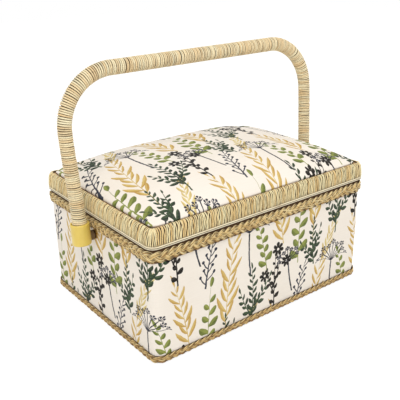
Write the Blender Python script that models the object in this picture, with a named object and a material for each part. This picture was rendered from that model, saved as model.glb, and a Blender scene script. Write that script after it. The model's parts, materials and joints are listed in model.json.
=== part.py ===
"""Sewing basket: a fabric covered box with a padded lid, straw trims and a wound swing handle.

Metres, +Z up. The origin is the centre of the base's underside, +X runs along the long side, the
front faces -Y and the lid's hinges are on the back, at +Y. The handle stands a little tipped back.
"""

import math

import bmesh
import bpy
from mathutils import Matrix, Vector

# Clearances and finish that the whole basket shares
SEAT_GAP = 0.0003
RUNNING_GAP = 0.0003
CUT_OVERRUN = 0.002
ARC_STEPS = 5
ROUND_STEPS = 20
BOSS_STEPS = 16
SMALL_STEPS = 12
PIN_STEPS = 10
SCREW_STEPS = 8
# Odd, so that no corner of a knuckle lies in its leaf's inner face
KNUCKLE_STEPS = 13
SMOOTH_ANGLE = math.radians(40)

# Box: fabric cover outside, boards and corner posts, lining inside
BOX_LENGTH = 0.3016
BOX_WIDTH = 0.2180
BOX_CORNER_RADIUS = 0.0100
COVER_THICKNESS = 0.0010
BOARD_THICKNESS = 0.0050
BOARD_HEIGHT = 0.1249
POST_LEG = 0.0120
LINING_THICKNESS = 0.0008
LINING_CORNER_ROOM = 0.0006
FELT_THICKNESS = 0.0010
BASE_BOARD_THICKNESS = 0.0050
FLOOR_PAD_THICKNESS = 0.0022

# Braids round the box
TOP_BRAID_HEIGHT = 0.0146
TOP_BRAID_THICKNESS = 0.0029
TOP_BRAID_DROP = 0.0006
FOOT_BRAID_HEIGHT = 0.0096
FOOT_BRAID_THICKNESS = 0.0024
BRAID_ROUNDING = 0.0009

# Lid rim: wooden rails, straw wrap that folds over them, piping below the wrap
RIM_OVERHANG = 0.0022
RIM_WRAP_THICKNESS = 0.0022
RIM_LEAN = 0.0017
RAIL_WIDTH = 0.0050
RAIL_HEIGHT = 0.0177
WRAP_FOLD_WIDTH = 0.0044
PIPING_HEIGHT = 0.0032
PIPING_ROUNDING = 0.0013

# Lid: board, padding, lining, pocket and pincushion
LID_BOARD_THICKNESS = 0.0030
LID_BOARD_RECESS = 0.0028
LID_CORNER_RADIUS = 0.0040
LID_LINING_THICKNESS = 0.0022
CUSHION_EDGE_HEIGHT = 0.0010
CUSHION_CROWN_HEIGHT = 0.0240
CUSHION_CORNER_EASE = 0.0002
CUSHION_SIDE_DRAW = 0.0014
CUSHION_CORNER_STEPS = 2
CUSHION_LONG_STEPS = 14
CUSHION_SHORT_STEPS = 10
CROWN_FALL_SHARE = 3.6
CROWN_ROUND_SHARE = 0.56
CROWN_RINGS = 11
CROWN_SPREAD_SHARE = 1.6
POCKET_WIDTH = 0.1150
POCKET_THICKNESS = 0.0026
POCKET_SIDE_MARGIN = 0.0120
POCKET_TO_PINCUSHION = 0.0280
PINCUSHION_SIZE = 0.0720
PINCUSHION_THICKNESS = 0.0060
PINCUSHION_SIDE_MARGIN = 0.0250
PAD_ROUNDING = 0.0010

# Butt hinges on the back
HINGE_SPACING = 0.1700
HINGE_LENGTH = 0.0240
LEAF_HEIGHT = 0.0140
LEAF_THICKNESS = 0.0008
KNUCKLE_RADIUS = 0.0022
KNUCKLE_SHARE = 1 / 3
PIN_RADIUS = 0.0010
PIN_HEAD_LENGTH = 0.0006
PIN_HEAD_RADIUS = 0.0016
SCREW_RADIUS = 0.0009
SCREW_HEAD_RADIUS = 0.0019
SCREW_HEAD_HEIGHT = 0.0006
SCREW_LENGTH = 0.0058
SCREW_END_MARGIN = 0.0045
SCREW_HEIGHT_SHARE = 0.62

# Handle: core, cord winding, ferrules and the pivots that carry them
HANDLE_SIDE_ROOM = 0.00405
HAND_ROOM = 0.0953
HANDLE_BOW = 0.0022
HANDLE_CORNER_RADIUS = 0.0580
HANDLE_TILT = math.radians(4.5)
PIVOT_BELOW_BRAID = 0.0004
CORE_RADIUS = 0.0055
POST_CORD_THICKNESS = 0.0021
BAR_CORD_THICKNESS = 0.0027
WINDING_GROOVE = 0.0009
WINDING_TURNS = 150
WINDING_SIDES = 8
WINDING_STEPS = 12
CORE_STEPS = 5
CUP_CLEARANCE = 0.0006
FERRULE_WALL = 0.00205
FERRULE_LENGTH = 0.0235
FERRULE_BELOW_PIVOT = 0.0066
FERRULE_EDGE = 0.0008
FERRULE_CUP_DEPTH = 0.0060
CORE_FOOT_RISE = 0.0060
BOSS_RADIUS = 0.0054
BOLT_RADIUS = 0.0025
BOLT_REACH = 0.0030
BOLT_HEAD_RADIUS = 0.0050
BOLT_HEAD_HEIGHT = 0.0028
BUSH_WALL = 0.0014
BUSH_FLANGE_WIDTH = 0.0012
BUSH_FLANGE_THICKNESS = 0.0010
WASHER_THICKNESS = 0.0012
WASHER_RADIUS = 0.0050

# Lift-out tray and the ledges that it rests on
TRAY_BOLT_CLEARANCE = 0.0021
TRAY_SIDE_CLEARANCE = 0.0030
TRAY_TOP_CLEARANCE = 0.0079
TRAY_HEIGHT = 0.0320
TRAY_WALL = 0.0016
TRAY_CORNER_RADIUS = 0.0100
TRAY_CORNER_STEPS = 3
TRAY_RIM_WIDTH = 0.0016
TRAY_RIM_HEIGHT = 0.0022
LEDGE_BEARING = 0.0025
LEDGE_HEIGHT = 0.0100
LEDGE_END_MARGIN = 0.0072
DIVIDER_THICKNESS = 0.0014
DIVIDER_DROP = 0.0041
LONG_DIVIDER_SHARE = 0.14
SHORT_DIVIDER_COUNT = 3

# Colours as the photograph shows them, or as such products have them
CREAM_PRINT = (0.90, 0.86, 0.76)
STRAW = (0.66, 0.50, 0.27)
SEAGRASS = (0.55, 0.38, 0.17)
PALE_CORD = (0.78, 0.67, 0.44)
FERRULE_YELLOW = (0.76, 0.55, 0.14)
BEECH = (0.62, 0.45, 0.28)
GREY_BOARD = (0.42, 0.37, 0.31)
CREAM_SATIN = (0.86, 0.80, 0.66)
GREY_FELT = (0.30, 0.29, 0.27)
BRASS = (0.72, 0.53, 0.23)
STEEL = (0.62, 0.62, 0.60)
CLEAR_PLASTIC = (0.80, 0.83, 0.84)


# Places that follow from the sizes above
cover_half = Vector((BOX_LENGTH / 2, BOX_WIDTH / 2))
board_offset = COVER_THICKNESS + SEAT_GAP
board_half = cover_half - Vector((board_offset, board_offset))
board_inner_offset = board_offset + BOARD_THICKNESS
lining_offset = board_inner_offset + SEAT_GAP
lining_half = cover_half - Vector((lining_offset, lining_offset))
post_diagonal = (POST_LEG + BOARD_THICKNESS) / 2
corner_room = post_diagonal - BOARD_THICKNESS - SEAT_GAP + LINING_CORNER_ROOM
lining_corner_radius = corner_room / (1 - math.sqrt(1 / 2))
inside_half = lining_half - Vector((LINING_THICKNESS, LINING_THICKNESS))
inside_corner_radius = lining_corner_radius - LINING_THICKNESS
felt_top = FELT_THICKNESS
wall_bottom = felt_top + SEAT_GAP
board_top = wall_bottom + BOARD_HEIGHT
wall_top = board_top + SEAT_GAP + COVER_THICKNESS
base_top = wall_bottom + BASE_BOARD_THICKNESS
floor_bottom = base_top + SEAT_GAP
floor_top = floor_bottom + FLOOR_PAD_THICKNESS

rim_half = cover_half + Vector((RIM_OVERHANG, RIM_OVERHANG))
rim_corner_radius = BOX_CORNER_RADIUS + RIM_OVERHANG
lid_bottom = wall_top + SEAT_GAP
wrap_depth = RIM_WRAP_THICKNESS + RIM_LEAN
rail_offset = wrap_depth + SEAT_GAP
rail_half = rim_half - Vector((rail_offset, rail_offset))
rail_inner_half = rail_half - Vector((RAIL_WIDTH, RAIL_WIDTH))
rail_top = lid_bottom + RAIL_HEIGHT
fold_bottom = rail_top + SEAT_GAP
rim_top = fold_bottom + RIM_WRAP_THICKNESS
piping_top = lid_bottom + PIPING_HEIGHT
wrap_bottom = piping_top + SEAT_GAP
panel_half = rail_inner_half - Vector((SEAT_GAP, SEAT_GAP))
lid_board_top = rail_top - LID_BOARD_RECESS
lid_board_bottom = lid_board_top - LID_BOARD_THICKNESS
lid_lining_top = lid_board_bottom - SEAT_GAP
lid_lining_bottom = lid_lining_top - LID_LINING_THICKNESS
fold_offset = RIM_LEAN + WRAP_FOLD_WIDTH
cushion_offset = fold_offset + SEAT_GAP
cushion_half = rim_half - Vector((cushion_offset, cushion_offset))
cushion_corner_radius = rim_corner_radius - cushion_offset + CUSHION_CORNER_EASE
cushion_edge_top = rim_top + CUSHION_EDGE_HEIGHT
crown_top = cushion_edge_top + CUSHION_CROWN_HEIGHT
lid_pad_top = lid_lining_bottom - SEAT_GAP
pincushion_bottom = lid_pad_top - PINCUSHION_THICKNESS
pincushion_right = panel_half.x - PINCUSHION_SIDE_MARGIN
pincushion_left = pincushion_right - PINCUSHION_SIZE

leaf_inner_y = rim_half.y + SEAT_GAP
hinge_axis_y = leaf_inner_y + KNUCKLE_RADIUS
hinge_axis_z = (wall_top + lid_bottom) / 2
screw_spacing = HINGE_LENGTH - 2 * SCREW_END_MARGIN
top_braid_top = wall_top - TOP_BRAID_DROP
top_braid_bottom = top_braid_top - TOP_BRAID_HEIGHT

bolt_bore = BOLT_RADIUS + RUNNING_GAP
bush_radius = bolt_bore + BUSH_WALL
bush_flange_radius = bush_radius + BUSH_FLANGE_WIDTH
bush_flange_outer = cover_half.x + SEAT_GAP + BUSH_FLANGE_THICKNESS
washer_inner = bush_flange_outer + RUNNING_GAP
washer_outer = washer_inner + WASHER_THICKNESS
pivot_reach = max(bush_flange_radius, WASHER_RADIUS, BOSS_RADIUS)
pivot_height = top_braid_bottom - PIVOT_BELOW_BRAID - pivot_reach
post_winding_radius = CORE_RADIUS + POST_CORD_THICKNESS
bar_winding_radius = CORE_RADIUS + BAR_CORD_THICKNESS
cup_radius = post_winding_radius + CUP_CLEARANCE
ferrule_radius = cup_radius + FERRULE_WALL
ferrule_top = FERRULE_LENGTH - FERRULE_BELOW_PIVOT
handle_half_span = rim_half.x + HANDLE_SIDE_ROOM + ferrule_radius
handle_rise = crown_top - pivot_height + HAND_ROOM + bar_winding_radius

tray_end_clearance = SEAT_GAP + BOLT_HEAD_HEIGHT + TRAY_BOLT_CLEARANCE
tray_half = inside_half - Vector((tray_end_clearance, TRAY_SIDE_CLEARANCE))
tray_top = pincushion_bottom - TRAY_TOP_CLEARANCE
tray_floor = tray_top - TRAY_HEIGHT
ledge_outer = inside_half.x - SEAT_GAP
ledge_inner = tray_half.x - TRAY_RIM_WIDTH - LEDGE_BEARING
ledge_half_length = inside_half.y - inside_corner_radius - LEDGE_END_MARGIN
hinge_sides = {"left": -HINGE_SPACING / 2, "right": HINGE_SPACING / 2}
sides = {"left": -1, "right": 1}


# Mesh helpers

def finish(name, bm, material):
    """Turns a bmesh into a named object with its material, normals out and round faces smooth."""
    bmesh.ops.remove_doubles(bm, verts=bm.verts, dist=SEAT_GAP / 100)
    bmesh.ops.recalc_face_normals(bm, faces=bm.faces)
    mesh = bpy.data.meshes.new(name)
    bm.to_mesh(mesh)
    bm.free()
    mesh.materials.append(material)
    mesh.shade_smooth()
    mesh.set_sharp_from_angle(angle=SMOOTH_ANGLE)
    piece = bpy.data.objects.new(name, mesh)
    bpy.context.scene.collection.objects.link(piece)
    return piece


def make_material(name, colour, roughness, metallic=0.0, alpha=1.0):
    """A Principled material of one colour."""
    material = bpy.data.materials.new(name)
    material.use_nodes = True
    shader = material.node_tree.nodes["Principled BSDF"]
    shader.inputs["Base Color"].default_value = (*colour, 1.0)
    shader.inputs["Roughness"].default_value = roughness
    shader.inputs["Metallic"].default_value = metallic
    shader.inputs["Alpha"].default_value = alpha
    return material


def joint_empty(name, place):
    """An empty on a joint's axis, the parent of what that joint carries."""
    empty = bpy.data.objects.new(name, None)
    empty.location = place
    bpy.context.scene.collection.objects.link(empty)
    return empty


def carry(joint, *pieces):
    """Parents pieces that were modelled in place to the empty on their joint's axis."""
    for piece in pieces:
        piece.parent = joint
        piece.matrix_parent_inverse = joint.matrix_basis.inverted()


def rounded_outline(half, radius, steps=ARC_STEPS):
    """Corner points of a rounded rectangle, anticlockwise from the +X +Y corner."""
    points = []
    for quarter, (sign_x, sign_y) in enumerate(((1, 1), (-1, 1), (-1, -1), (1, -1))):
        centre = Vector((sign_x * (half.x - radius), sign_y * (half.y - radius)))
        for step in range(steps + 1):
            angle = (quarter + step / steps) * math.pi / 2
            points.append(centre + radius * Vector((math.cos(angle), math.sin(angle))))
    return points


def bridge(bm, lower, upper):
    """Quads between two closed loops of the same count."""
    count = len(lower)
    for index in range(count):
        following = (index + 1) % count
        bm.faces.new((lower[index], lower[following], upper[following], upper[index]))


def swept_ring(name, half, radius, profile, material):
    """A closed profile of (outward offset, height) points, swept round a rounded rectangle."""
    bm = bmesh.new()
    loops = []
    for offset, height in profile:
        outline = rounded_outline(half + Vector((offset, offset)), radius + offset)
        loops.append([bm.verts.new((*point, height)) for point in outline])
    for index, loop in enumerate(loops):
        bridge(bm, loop, loops[(index + 1) % len(loops)])
    return finish(name, bm, material)


def slab(name, outline, bottom, top, material):
    """An outline extruded upwards."""
    bm = bmesh.new()
    face = bm.faces.new([bm.verts.new((*point, bottom)) for point in outline])
    grown = bmesh.ops.extrude_face_region(bm, geom=[face])
    raised = [item for item in grown["geom"] if isinstance(item, bmesh.types.BMVert)]
    bmesh.ops.translate(bm, vec=(0, 0, top - bottom), verts=raised)
    return finish(name, bm, material)


def block(name, low, high, material, edge=0.0):
    """A box between two corners, with its edges bevelled where an edge width is given."""
    bm = bmesh.new()
    bmesh.ops.create_cube(bm, size=1)
    low, high = Vector(low), Vector(high)
    bmesh.ops.scale(bm, vec=high - low, verts=bm.verts)
    bmesh.ops.translate(bm, vec=(low + high) / 2, verts=bm.verts)
    if edge:
        bmesh.ops.bevel(bm, geom=bm.edges[:], offset=edge, segments=1, affect="EDGES")
    return finish(name, bm, material)


def turned(name, profile, material, centre, axis="X", steps=ROUND_STEPS):
    """A profile of (along the axis, radius) points spun about X or Z through centre."""
    bm = bmesh.new()
    rings = []
    for along, radius in profile:
        if radius == 0:
            rings.append([bm.verts.new((along, 0, 0))])
            continue
        ring = []
        for step in range(steps):
            angle = 2 * math.pi * step / steps
            ring.append(bm.verts.new((along, radius * math.cos(angle), radius * math.sin(angle))))
        rings.append(ring)
    for first, second in zip(rings, rings[1:]):
        join_rings(bm, first, second)
    if len(rings[0]) > 1:
        join_rings(bm, rings[-1], rings[0])
    if axis == "Z":
        upright = Matrix.Rotation(-math.pi / 2, 3, "Y")
        bmesh.ops.rotate(bm, cent=(0, 0, 0), verts=bm.verts, matrix=upright)
    bmesh.ops.translate(bm, vec=centre, verts=bm.verts)
    return finish(name, bm, material)


def join_rings(bm, first, second):
    """Joins two rings of a turned shape, where one may be a single point on the axis."""
    if len(first) == 1 and len(second) == 1:
        return
    if len(first) == 1 or len(second) == 1:
        tip, ring = (first[0], second) if len(first) == 1 else (second[0], first)
        for index, vertex in enumerate(ring):
            bm.faces.new((tip, vertex, ring[(index + 1) % len(ring)]))
        return
    bridge(bm, first, second)


def combine(target, other, operation):
    """Applies one exact Boolean to target, in its own material, and removes the other object."""
    material = target.data.materials[0]
    modifier = target.modifiers.new(operation.title(), "BOOLEAN")
    modifier.operation = operation
    modifier.solver = "EXACT"
    modifier.object = other
    bpy.context.view_layer.update()
    result = target.evaluated_get(bpy.context.evaluated_depsgraph_get())
    mesh = bpy.data.meshes.new_from_object(result)
    mesh.materials.clear()
    mesh.materials.append(material)
    mesh.polygons.foreach_set("material_index", [0] * len(mesh.polygons))
    target.modifiers.clear()
    target.data = mesh
    bpy.data.objects.remove(other)
    return target


def cut(target, cutter):
    return combine(target, cutter, "DIFFERENCE")


def fuse(target, other):
    return combine(target, other, "UNION")


def rod_cutter(centre, axis, radius, length, steps=ROUND_STEPS):
    """A plain cylinder to cut a round hole with, centred on centre."""
    profile = [(-length / 2, 0), (-length / 2, radius), (length / 2, radius), (length / 2, 0)]
    rod = turned("cutter", profile, cutter_material, (0, 0, 0), "X", steps)
    spin = Matrix.Rotation(math.pi / 2, 4, "Z") if axis == "Y" else Matrix.Identity(4)
    rod.data.transform(Matrix.Translation(centre) @ spin)
    return rod


# Box

def build_walls():
    """Four boards between four corner posts, whose outer corners carry the box's rounding."""
    post_radius = BOX_CORNER_RADIUS - board_offset
    board_end = Vector((board_half.x - POST_LEG - SEAT_GAP, board_half.y - POST_LEG - SEAT_GAP))
    board_inner = Vector((board_half.x - BOARD_THICKNESS, board_half.y - BOARD_THICKNESS))
    spans = {
        "front_board": ((-board_end.x, -board_half.y), (board_end.x, -board_inner.y)),
        "back_board": ((-board_end.x, board_inner.y), (board_end.x, board_half.y)),
        "left_board": ((-board_half.x, -board_end.y), (-board_inner.x, board_end.y)),
        "right_board": ((board_inner.x, -board_end.y), (board_half.x, board_end.y)),
    }
    for name, (low, high) in spans.items():
        block(name, (*low, wall_bottom), (*high, board_top), board_material)
    for name, turn in (("front_left", 2), ("front_right", 3), ("back_left", 1), ("back_right", 0)):
        corner = []
        for step in range(ARC_STEPS + 1):
            angle = step / ARC_STEPS * math.pi / 2
            corner.append(post_radius * Vector((math.cos(angle) - 1, math.sin(angle) - 1)))
        corner.append(Vector((-POST_LEG, 0)))
        corner.append(Vector((-POST_LEG, -BOARD_THICKNESS)))
        corner.append(Vector((-BOARD_THICKNESS, -POST_LEG)))
        corner.append(Vector((0, -POST_LEG)))
        spin = Matrix.Rotation(turn * math.pi / 2, 2)
        towards = spin @ Vector((1, 1))
        place = Vector((math.copysign(board_half.x, towards.x), math.copysign(board_half.y, towards.y)))
        outline = [place + spin @ point for point in corner]
        slab(f"corner_post_{name}", outline, wall_bottom, board_top, wood_material)


def build_box_skins():
    """Felt, base board, fabric cover with its turned edge, lining and floor pad."""
    slab("base_felt", rounded_outline(cover_half, BOX_CORNER_RADIUS), 0, felt_top, felt_material)
    base_outline = rounded_outline(lining_half, lining_corner_radius)
    slab("base_board", base_outline, wall_bottom, base_top, board_material)
    turned_edge = board_inner_offset
    fold_under = wall_top - COVER_THICKNESS
    cover_profile = [
        (0, wall_bottom),
        (0, wall_top),
        (-turned_edge, wall_top),
        (-turned_edge, fold_under),
        (-COVER_THICKNESS, fold_under),
        (-COVER_THICKNESS, wall_bottom),
    ]
    swept_ring("outer_cover", cover_half, BOX_CORNER_RADIUS, cover_profile, print_material)
    lining_profile = [
        (0, floor_bottom),
        (0, wall_top),
        (-LINING_THICKNESS, wall_top),
        (-LINING_THICKNESS, floor_bottom),
    ]
    swept_ring("inner_lining", lining_half, lining_corner_radius, lining_profile, satin_material)
    pad_offset = LINING_THICKNESS + SEAT_GAP
    pad_half = lining_half - Vector((pad_offset, pad_offset))
    pad_outline = rounded_outline(pad_half, lining_corner_radius - pad_offset)
    slab("floor_pad", pad_outline, floor_bottom, floor_top, satin_material)


def braid_profile(bottom, height, thickness):
    """Section of a flat braid that lies on the cover, rounded on its outer side."""
    inner = SEAT_GAP
    outer = SEAT_GAP + thickness
    return [
        (inner, bottom),
        (outer - BRAID_ROUNDING, bottom),
        (outer, bottom + BRAID_ROUNDING),
        (outer, bottom + height - BRAID_ROUNDING),
        (outer - BRAID_ROUNDING, bottom + height),
        (inner, bottom + height),
    ]


def build_braids():
    """Top braid, pressed flat under the hinges, and the narrower braid round the foot."""
    profile = braid_profile(top_braid_bottom, TOP_BRAID_HEIGHT, TOP_BRAID_THICKNESS)
    top_braid = swept_ring("top_braid", cover_half, BOX_CORNER_RADIUS, profile, seagrass_material)
    reach = HINGE_LENGTH / 2 + PIN_HEAD_LENGTH + CUT_OVERRUN
    for middle in hinge_sides.values():
        low = (middle - reach, rim_half.y, top_braid_bottom - CUT_OVERRUN)
        high = (middle + reach, rim_half.y + TOP_BRAID_THICKNESS, top_braid_top + CUT_OVERRUN)
        cut(top_braid, block("cutter", low, high, cutter_material))
    profile = braid_profile(SEAT_GAP, FOOT_BRAID_HEIGHT, FOOT_BRAID_THICKNESS)
    swept_ring("foot_braid", cover_half, BOX_CORNER_RADIUS, profile, seagrass_material)


def build_ledges():
    """Two strips on the lining's ends that the tray rests on."""
    top = tray_floor - SEAT_GAP
    for side, sign in sides.items():
        ends = sorted((sign * ledge_outer, sign * ledge_inner))
        low = (ends[0], -ledge_half_length, top - LEDGE_HEIGHT)
        high = (ends[1], ledge_half_length, top)
        block(f"tray_ledge_{side}", low, high, wood_material)


# Lid

def build_rails(lid_joint):
    """Four rails mitred at 45 degrees, each with its half of the rounded outer corners."""
    mitre_shift = SEAT_GAP / math.sqrt(2)
    corner = rim_corner_radius - rail_offset
    for name, turn in (("rail_right", 0), ("rail_back", 1), ("rail_left", 2), ("rail_front", 3)):
        lengthwise = turn % 2 == 1
        across, along = (rail_half.y, rail_half.x) if lengthwise else (rail_half.x, rail_half.y)
        along -= mitre_shift
        outline = []
        for sign in (-1, 1):
            arc = []
            for step in range(ARC_STEPS):
                angle = step / (ARC_STEPS - 1) * math.pi / 4
                shift = corner * Vector((math.cos(angle) - 1, sign * (math.sin(angle) - 1)))
                arc.append(Vector((across, sign * along)) + shift)
            outline += arc[::-1] if sign < 0 else arc
        inner = across - RAIL_WIDTH
        outline += [Vector((inner, along - RAIL_WIDTH)), Vector((inner, RAIL_WIDTH - along))]
        spin = Matrix.Rotation(turn * math.pi / 2, 2)
        outline = [spin @ point for point in outline]
        carry(lid_joint, slab(name, outline, lid_bottom, rail_top, wood_material))


def build_rim_trim(lid_joint):
    """Straw wrap that leans in and folds over the rails, and the double piping under it."""
    wrap_profile = [
        (0, wrap_bottom),
        (-RIM_LEAN, rim_top - PAD_ROUNDING),
        (-RIM_LEAN - PAD_ROUNDING, rim_top),
        (-fold_offset, rim_top),
        (-fold_offset, fold_bottom),
        (-wrap_depth, fold_bottom),
        (-wrap_depth, wrap_bottom),
    ]
    wrap = swept_ring("rim_wrap", rim_half, rim_corner_radius, wrap_profile, straw_material)
    middle = (lid_bottom + piping_top) / 2
    groove = PIPING_ROUNDING / 2
    piping_profile = [
        (-wrap_depth, lid_bottom),
        (-groove, lid_bottom),
        (0, (lid_bottom + middle) / 2),
        (-groove, middle),
        (0, (piping_top + middle) / 2),
        (-groove, piping_top),
        (-wrap_depth, piping_top),
    ]
    piping = swept_ring("rim_piping", rim_half, rim_corner_radius, piping_profile, cord_material)
    carry(lid_joint, wrap, piping)


def build_lid_panels(lid_joint):
    """Board inside the rails, quilted lining, elastic pocket and pincushion under it."""
    outline = rounded_outline(panel_half, LID_CORNER_RADIUS)
    pieces = [
        slab("lid_board", outline, lid_board_bottom, lid_board_top, board_material),
        slab("lid_lining", outline, lid_lining_bottom, lid_lining_top, satin_material),
    ]
    pocket_left = -panel_half.x + POCKET_SIDE_MARGIN
    low = (pocket_left, -POCKET_WIDTH / 2, lid_pad_top - POCKET_THICKNESS)
    high = (pincushion_left - POCKET_TO_PINCUSHION, POCKET_WIDTH / 2, lid_pad_top)
    pieces.append(block("lid_pocket", low, high, satin_material, PAD_ROUNDING))
    low = (pincushion_left, -PINCUSHION_SIZE / 2, pincushion_bottom)
    high = (pincushion_right, PINCUSHION_SIZE / 2, lid_pad_top)
    pieces.append(block("pincushion", low, high, satin_material, PAD_ROUNDING * 2))
    carry(lid_joint, *pieces)


def crown_height(x, y, half):
    """Height share of the padding over its edge, full in the middle and falling to the seams."""
    fall_x = 1 - abs(x / half.x) ** CROWN_FALL_SHARE
    fall_y = 1 - abs(y / half.y) ** CROWN_FALL_SHARE
    return max(fall_x * fall_y, 0) ** CROWN_ROUND_SHARE


def build_cushion(lid_joint):
    """Padding over the lid board: a foot inside the rails, drawn-in sides and a broad crown."""
    bm = bmesh.new()
    loops = []

    def add_loop(half, radius, height, crowned=False):
        loop = []
        for point in refined_outline(half, radius):
            lift = CUSHION_CROWN_HEIGHT * crown_height(point.x, point.y, cushion_half) if crowned else 0
            loop.append(bm.verts.new((*point, height + lift)))
        loops.append(loop)

    foot_bottom = lid_board_top + SEAT_GAP
    edge_bottom = rail_top + SEAT_GAP
    drawn = cushion_half - Vector((CUSHION_SIDE_DRAW, CUSHION_SIDE_DRAW))
    add_loop(panel_half, LID_CORNER_RADIUS, foot_bottom)
    add_loop(panel_half, LID_CORNER_RADIUS, edge_bottom)
    add_loop(cushion_half, cushion_corner_radius, edge_bottom)
    add_loop(drawn, cushion_corner_radius, (edge_bottom + rim_top) / 2)
    add_loop(cushion_half, cushion_corner_radius, cushion_edge_top)
    for ring in range(1, CROWN_RINGS):
        share = 1 - (ring / CROWN_RINGS) ** CROWN_SPREAD_SHARE
        radius = cushion_corner_radius * share
        add_loop(cushion_half * share, radius, cushion_edge_top, crowned=True)
    for first, second in zip(loops, loops[1:]):
        bridge(bm, first, second)
    bm.faces.new(loops[0])
    centre = bm.verts.new((0, 0, crown_top))
    join_rings(bm, [centre], loops[-1])
    carry(lid_joint, finish("lid_cushion", bm, print_material))


def refined_outline(half, radius):
    """A rounded rectangle with points along its straight sides too, for a surface that bends."""
    corners = rounded_outline(half, radius, CUSHION_CORNER_STEPS)
    points = []
    for index, point in enumerate(corners):
        points.append(point)
        if index % (CUSHION_CORNER_STEPS + 1) < CUSHION_CORNER_STEPS:
            continue
        following = corners[(index + 1) % len(corners)]
        lengthwise = abs(following.x - point.x) > abs(following.y - point.y)
        steps = CUSHION_LONG_STEPS if lengthwise else CUSHION_SHORT_STEPS
        points += [point.lerp(following, step / steps) for step in range(1, steps)]
    return points


# Hinges

def hinge_leaf(name, middle, upward, knuckles):
    """A leaf: plate, its knuckles round the pin, the pin's bore and two screw holes."""
    reach = hinge_axis_z + upward * LEAF_HEIGHT
    clear = hinge_axis_z + upward * (KNUCKLE_RADIUS + RUNNING_GAP)
    start = middle - HINGE_LENGTH / 2
    plate_low = min(clear, reach)
    plate_high = max(clear, reach)
    low = (start, leaf_inner_y, plate_low)
    high = (start + HINGE_LENGTH, leaf_inner_y + LEAF_THICKNESS, plate_high)
    leaf = block(name, low, high, brass_material)
    for first, last in knuckles:
        left = start + HINGE_LENGTH * first + (RUNNING_GAP / 2 if first > 0 else 0)
        right = start + HINGE_LENGTH * last - (RUNNING_GAP / 2 if last < 1 else 0)
        tongue_ends = sorted((hinge_axis_z, clear + upward * LEAF_THICKNESS))
        low = (left, leaf_inner_y, tongue_ends[0])
        high = (right, leaf_inner_y + LEAF_THICKNESS, tongue_ends[1])
        fuse(leaf, block("tongue", low, high, brass_material))
        centre = ((left + right) / 2, hinge_axis_y, hinge_axis_z)
        fuse(leaf, rod_cutter(centre, "X", KNUCKLE_RADIUS, right - left, KNUCKLE_STEPS))
    bore_length = HINGE_LENGTH + CUT_OVERRUN
    axis_place = (middle, hinge_axis_y, hinge_axis_z)
    cut(leaf, rod_cutter(axis_place, "X", PIN_RADIUS + RUNNING_GAP, bore_length, SMALL_STEPS))
    for place in screw_places(middle, upward):
        cut(leaf, screw_hole(place, LEAF_THICKNESS * 2 + CUT_OVERRUN))
    return leaf


def screw_places(middle, upward):
    """Where the two screws of a leaf cross its plate."""
    height = hinge_axis_z + upward * LEAF_HEIGHT * SCREW_HEIGHT_SHARE
    return [(middle + sign * screw_spacing / 2, leaf_inner_y, height) for sign in sides.values()]


def screw_hole(place, depth):
    """Cutter for a screw's hole, running depth metres each way from the leaf's inner face."""
    return rod_cutter(place, "Y", SCREW_RADIUS + SEAT_GAP, depth, SCREW_STEPS)


def hinge_screw(name, place):
    """A round-head screw through the leaf into the wood behind it."""
    x, y, z = place
    head_seat = LEAF_THICKNESS + SEAT_GAP
    profile = [
        (LEAF_THICKNESS - SCREW_LENGTH, 0),
        (LEAF_THICKNESS - SCREW_LENGTH, SCREW_RADIUS),
        (head_seat, SCREW_RADIUS),
        (head_seat, SCREW_HEAD_RADIUS),
        (head_seat + SCREW_HEAD_HEIGHT / 2, SCREW_HEAD_RADIUS),
        (head_seat + SCREW_HEAD_HEIGHT, SCREW_HEAD_RADIUS / 2),
        (head_seat + SCREW_HEAD_HEIGHT, 0),
    ]
    screw = turned(name, profile, brass_material, (0, 0, 0), "X", SCREW_STEPS)
    screw.data.transform(Matrix.Translation((x, y, z)) @ Matrix.Rotation(math.pi / 2, 4, "Z"))
    return screw


def build_hinges(lid_joint):
    """Two hinges: lower leaves, pins and screws on the box, upper leaves and screws on the lid."""
    outer_knuckles = ((0, KNUCKLE_SHARE), (1 - KNUCKLE_SHARE, 1))
    middle_knuckle = ((KNUCKLE_SHARE, 1 - KNUCKLE_SHARE),)
    for side, middle in hinge_sides.items():
        hinge_leaf(f"hinge_lower_leaf_{side}", middle, -1, outer_knuckles)
        carry(lid_joint, hinge_leaf(f"hinge_upper_leaf_{side}", middle, 1, middle_knuckle))
        half_length = HINGE_LENGTH / 2 + SEAT_GAP
        pin_profile = [
            (-half_length - PIN_HEAD_LENGTH, 0),
            (-half_length - PIN_HEAD_LENGTH, PIN_HEAD_RADIUS),
            (-half_length, PIN_HEAD_RADIUS),
            (-half_length, PIN_RADIUS),
            (half_length, PIN_RADIUS),
            (half_length, PIN_HEAD_RADIUS),
            (half_length + PIN_HEAD_LENGTH, PIN_HEAD_RADIUS),
            (half_length + PIN_HEAD_LENGTH, 0),
        ]
        centre = (middle, hinge_axis_y, hinge_axis_z)
        turned(f"hinge_pin_{side}", pin_profile, brass_material, centre, "X", PIN_STEPS)
        for number, place in enumerate(screw_places(middle, -1), 1):
            hinge_screw(f"box_hinge_screw_{side}_{number}", place)
            drill(("top_braid", "outer_cover", "back_board"), place)
        for number, place in enumerate(screw_places(middle, 1), 1):
            carry(lid_joint, hinge_screw(f"lid_hinge_screw_{side}_{number}", place))
            drill(("rim_wrap", "rail_back"), place)


def drill(names, place):
    """Drills one screw's hole through every piece that the screw passes."""
    depth = 2 * (SCREW_LENGTH - LEAF_THICKNESS + SEAT_GAP)
    for name in names:
        cut(bpy.data.objects[name], screw_hole(place, depth))


# Handle

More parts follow.
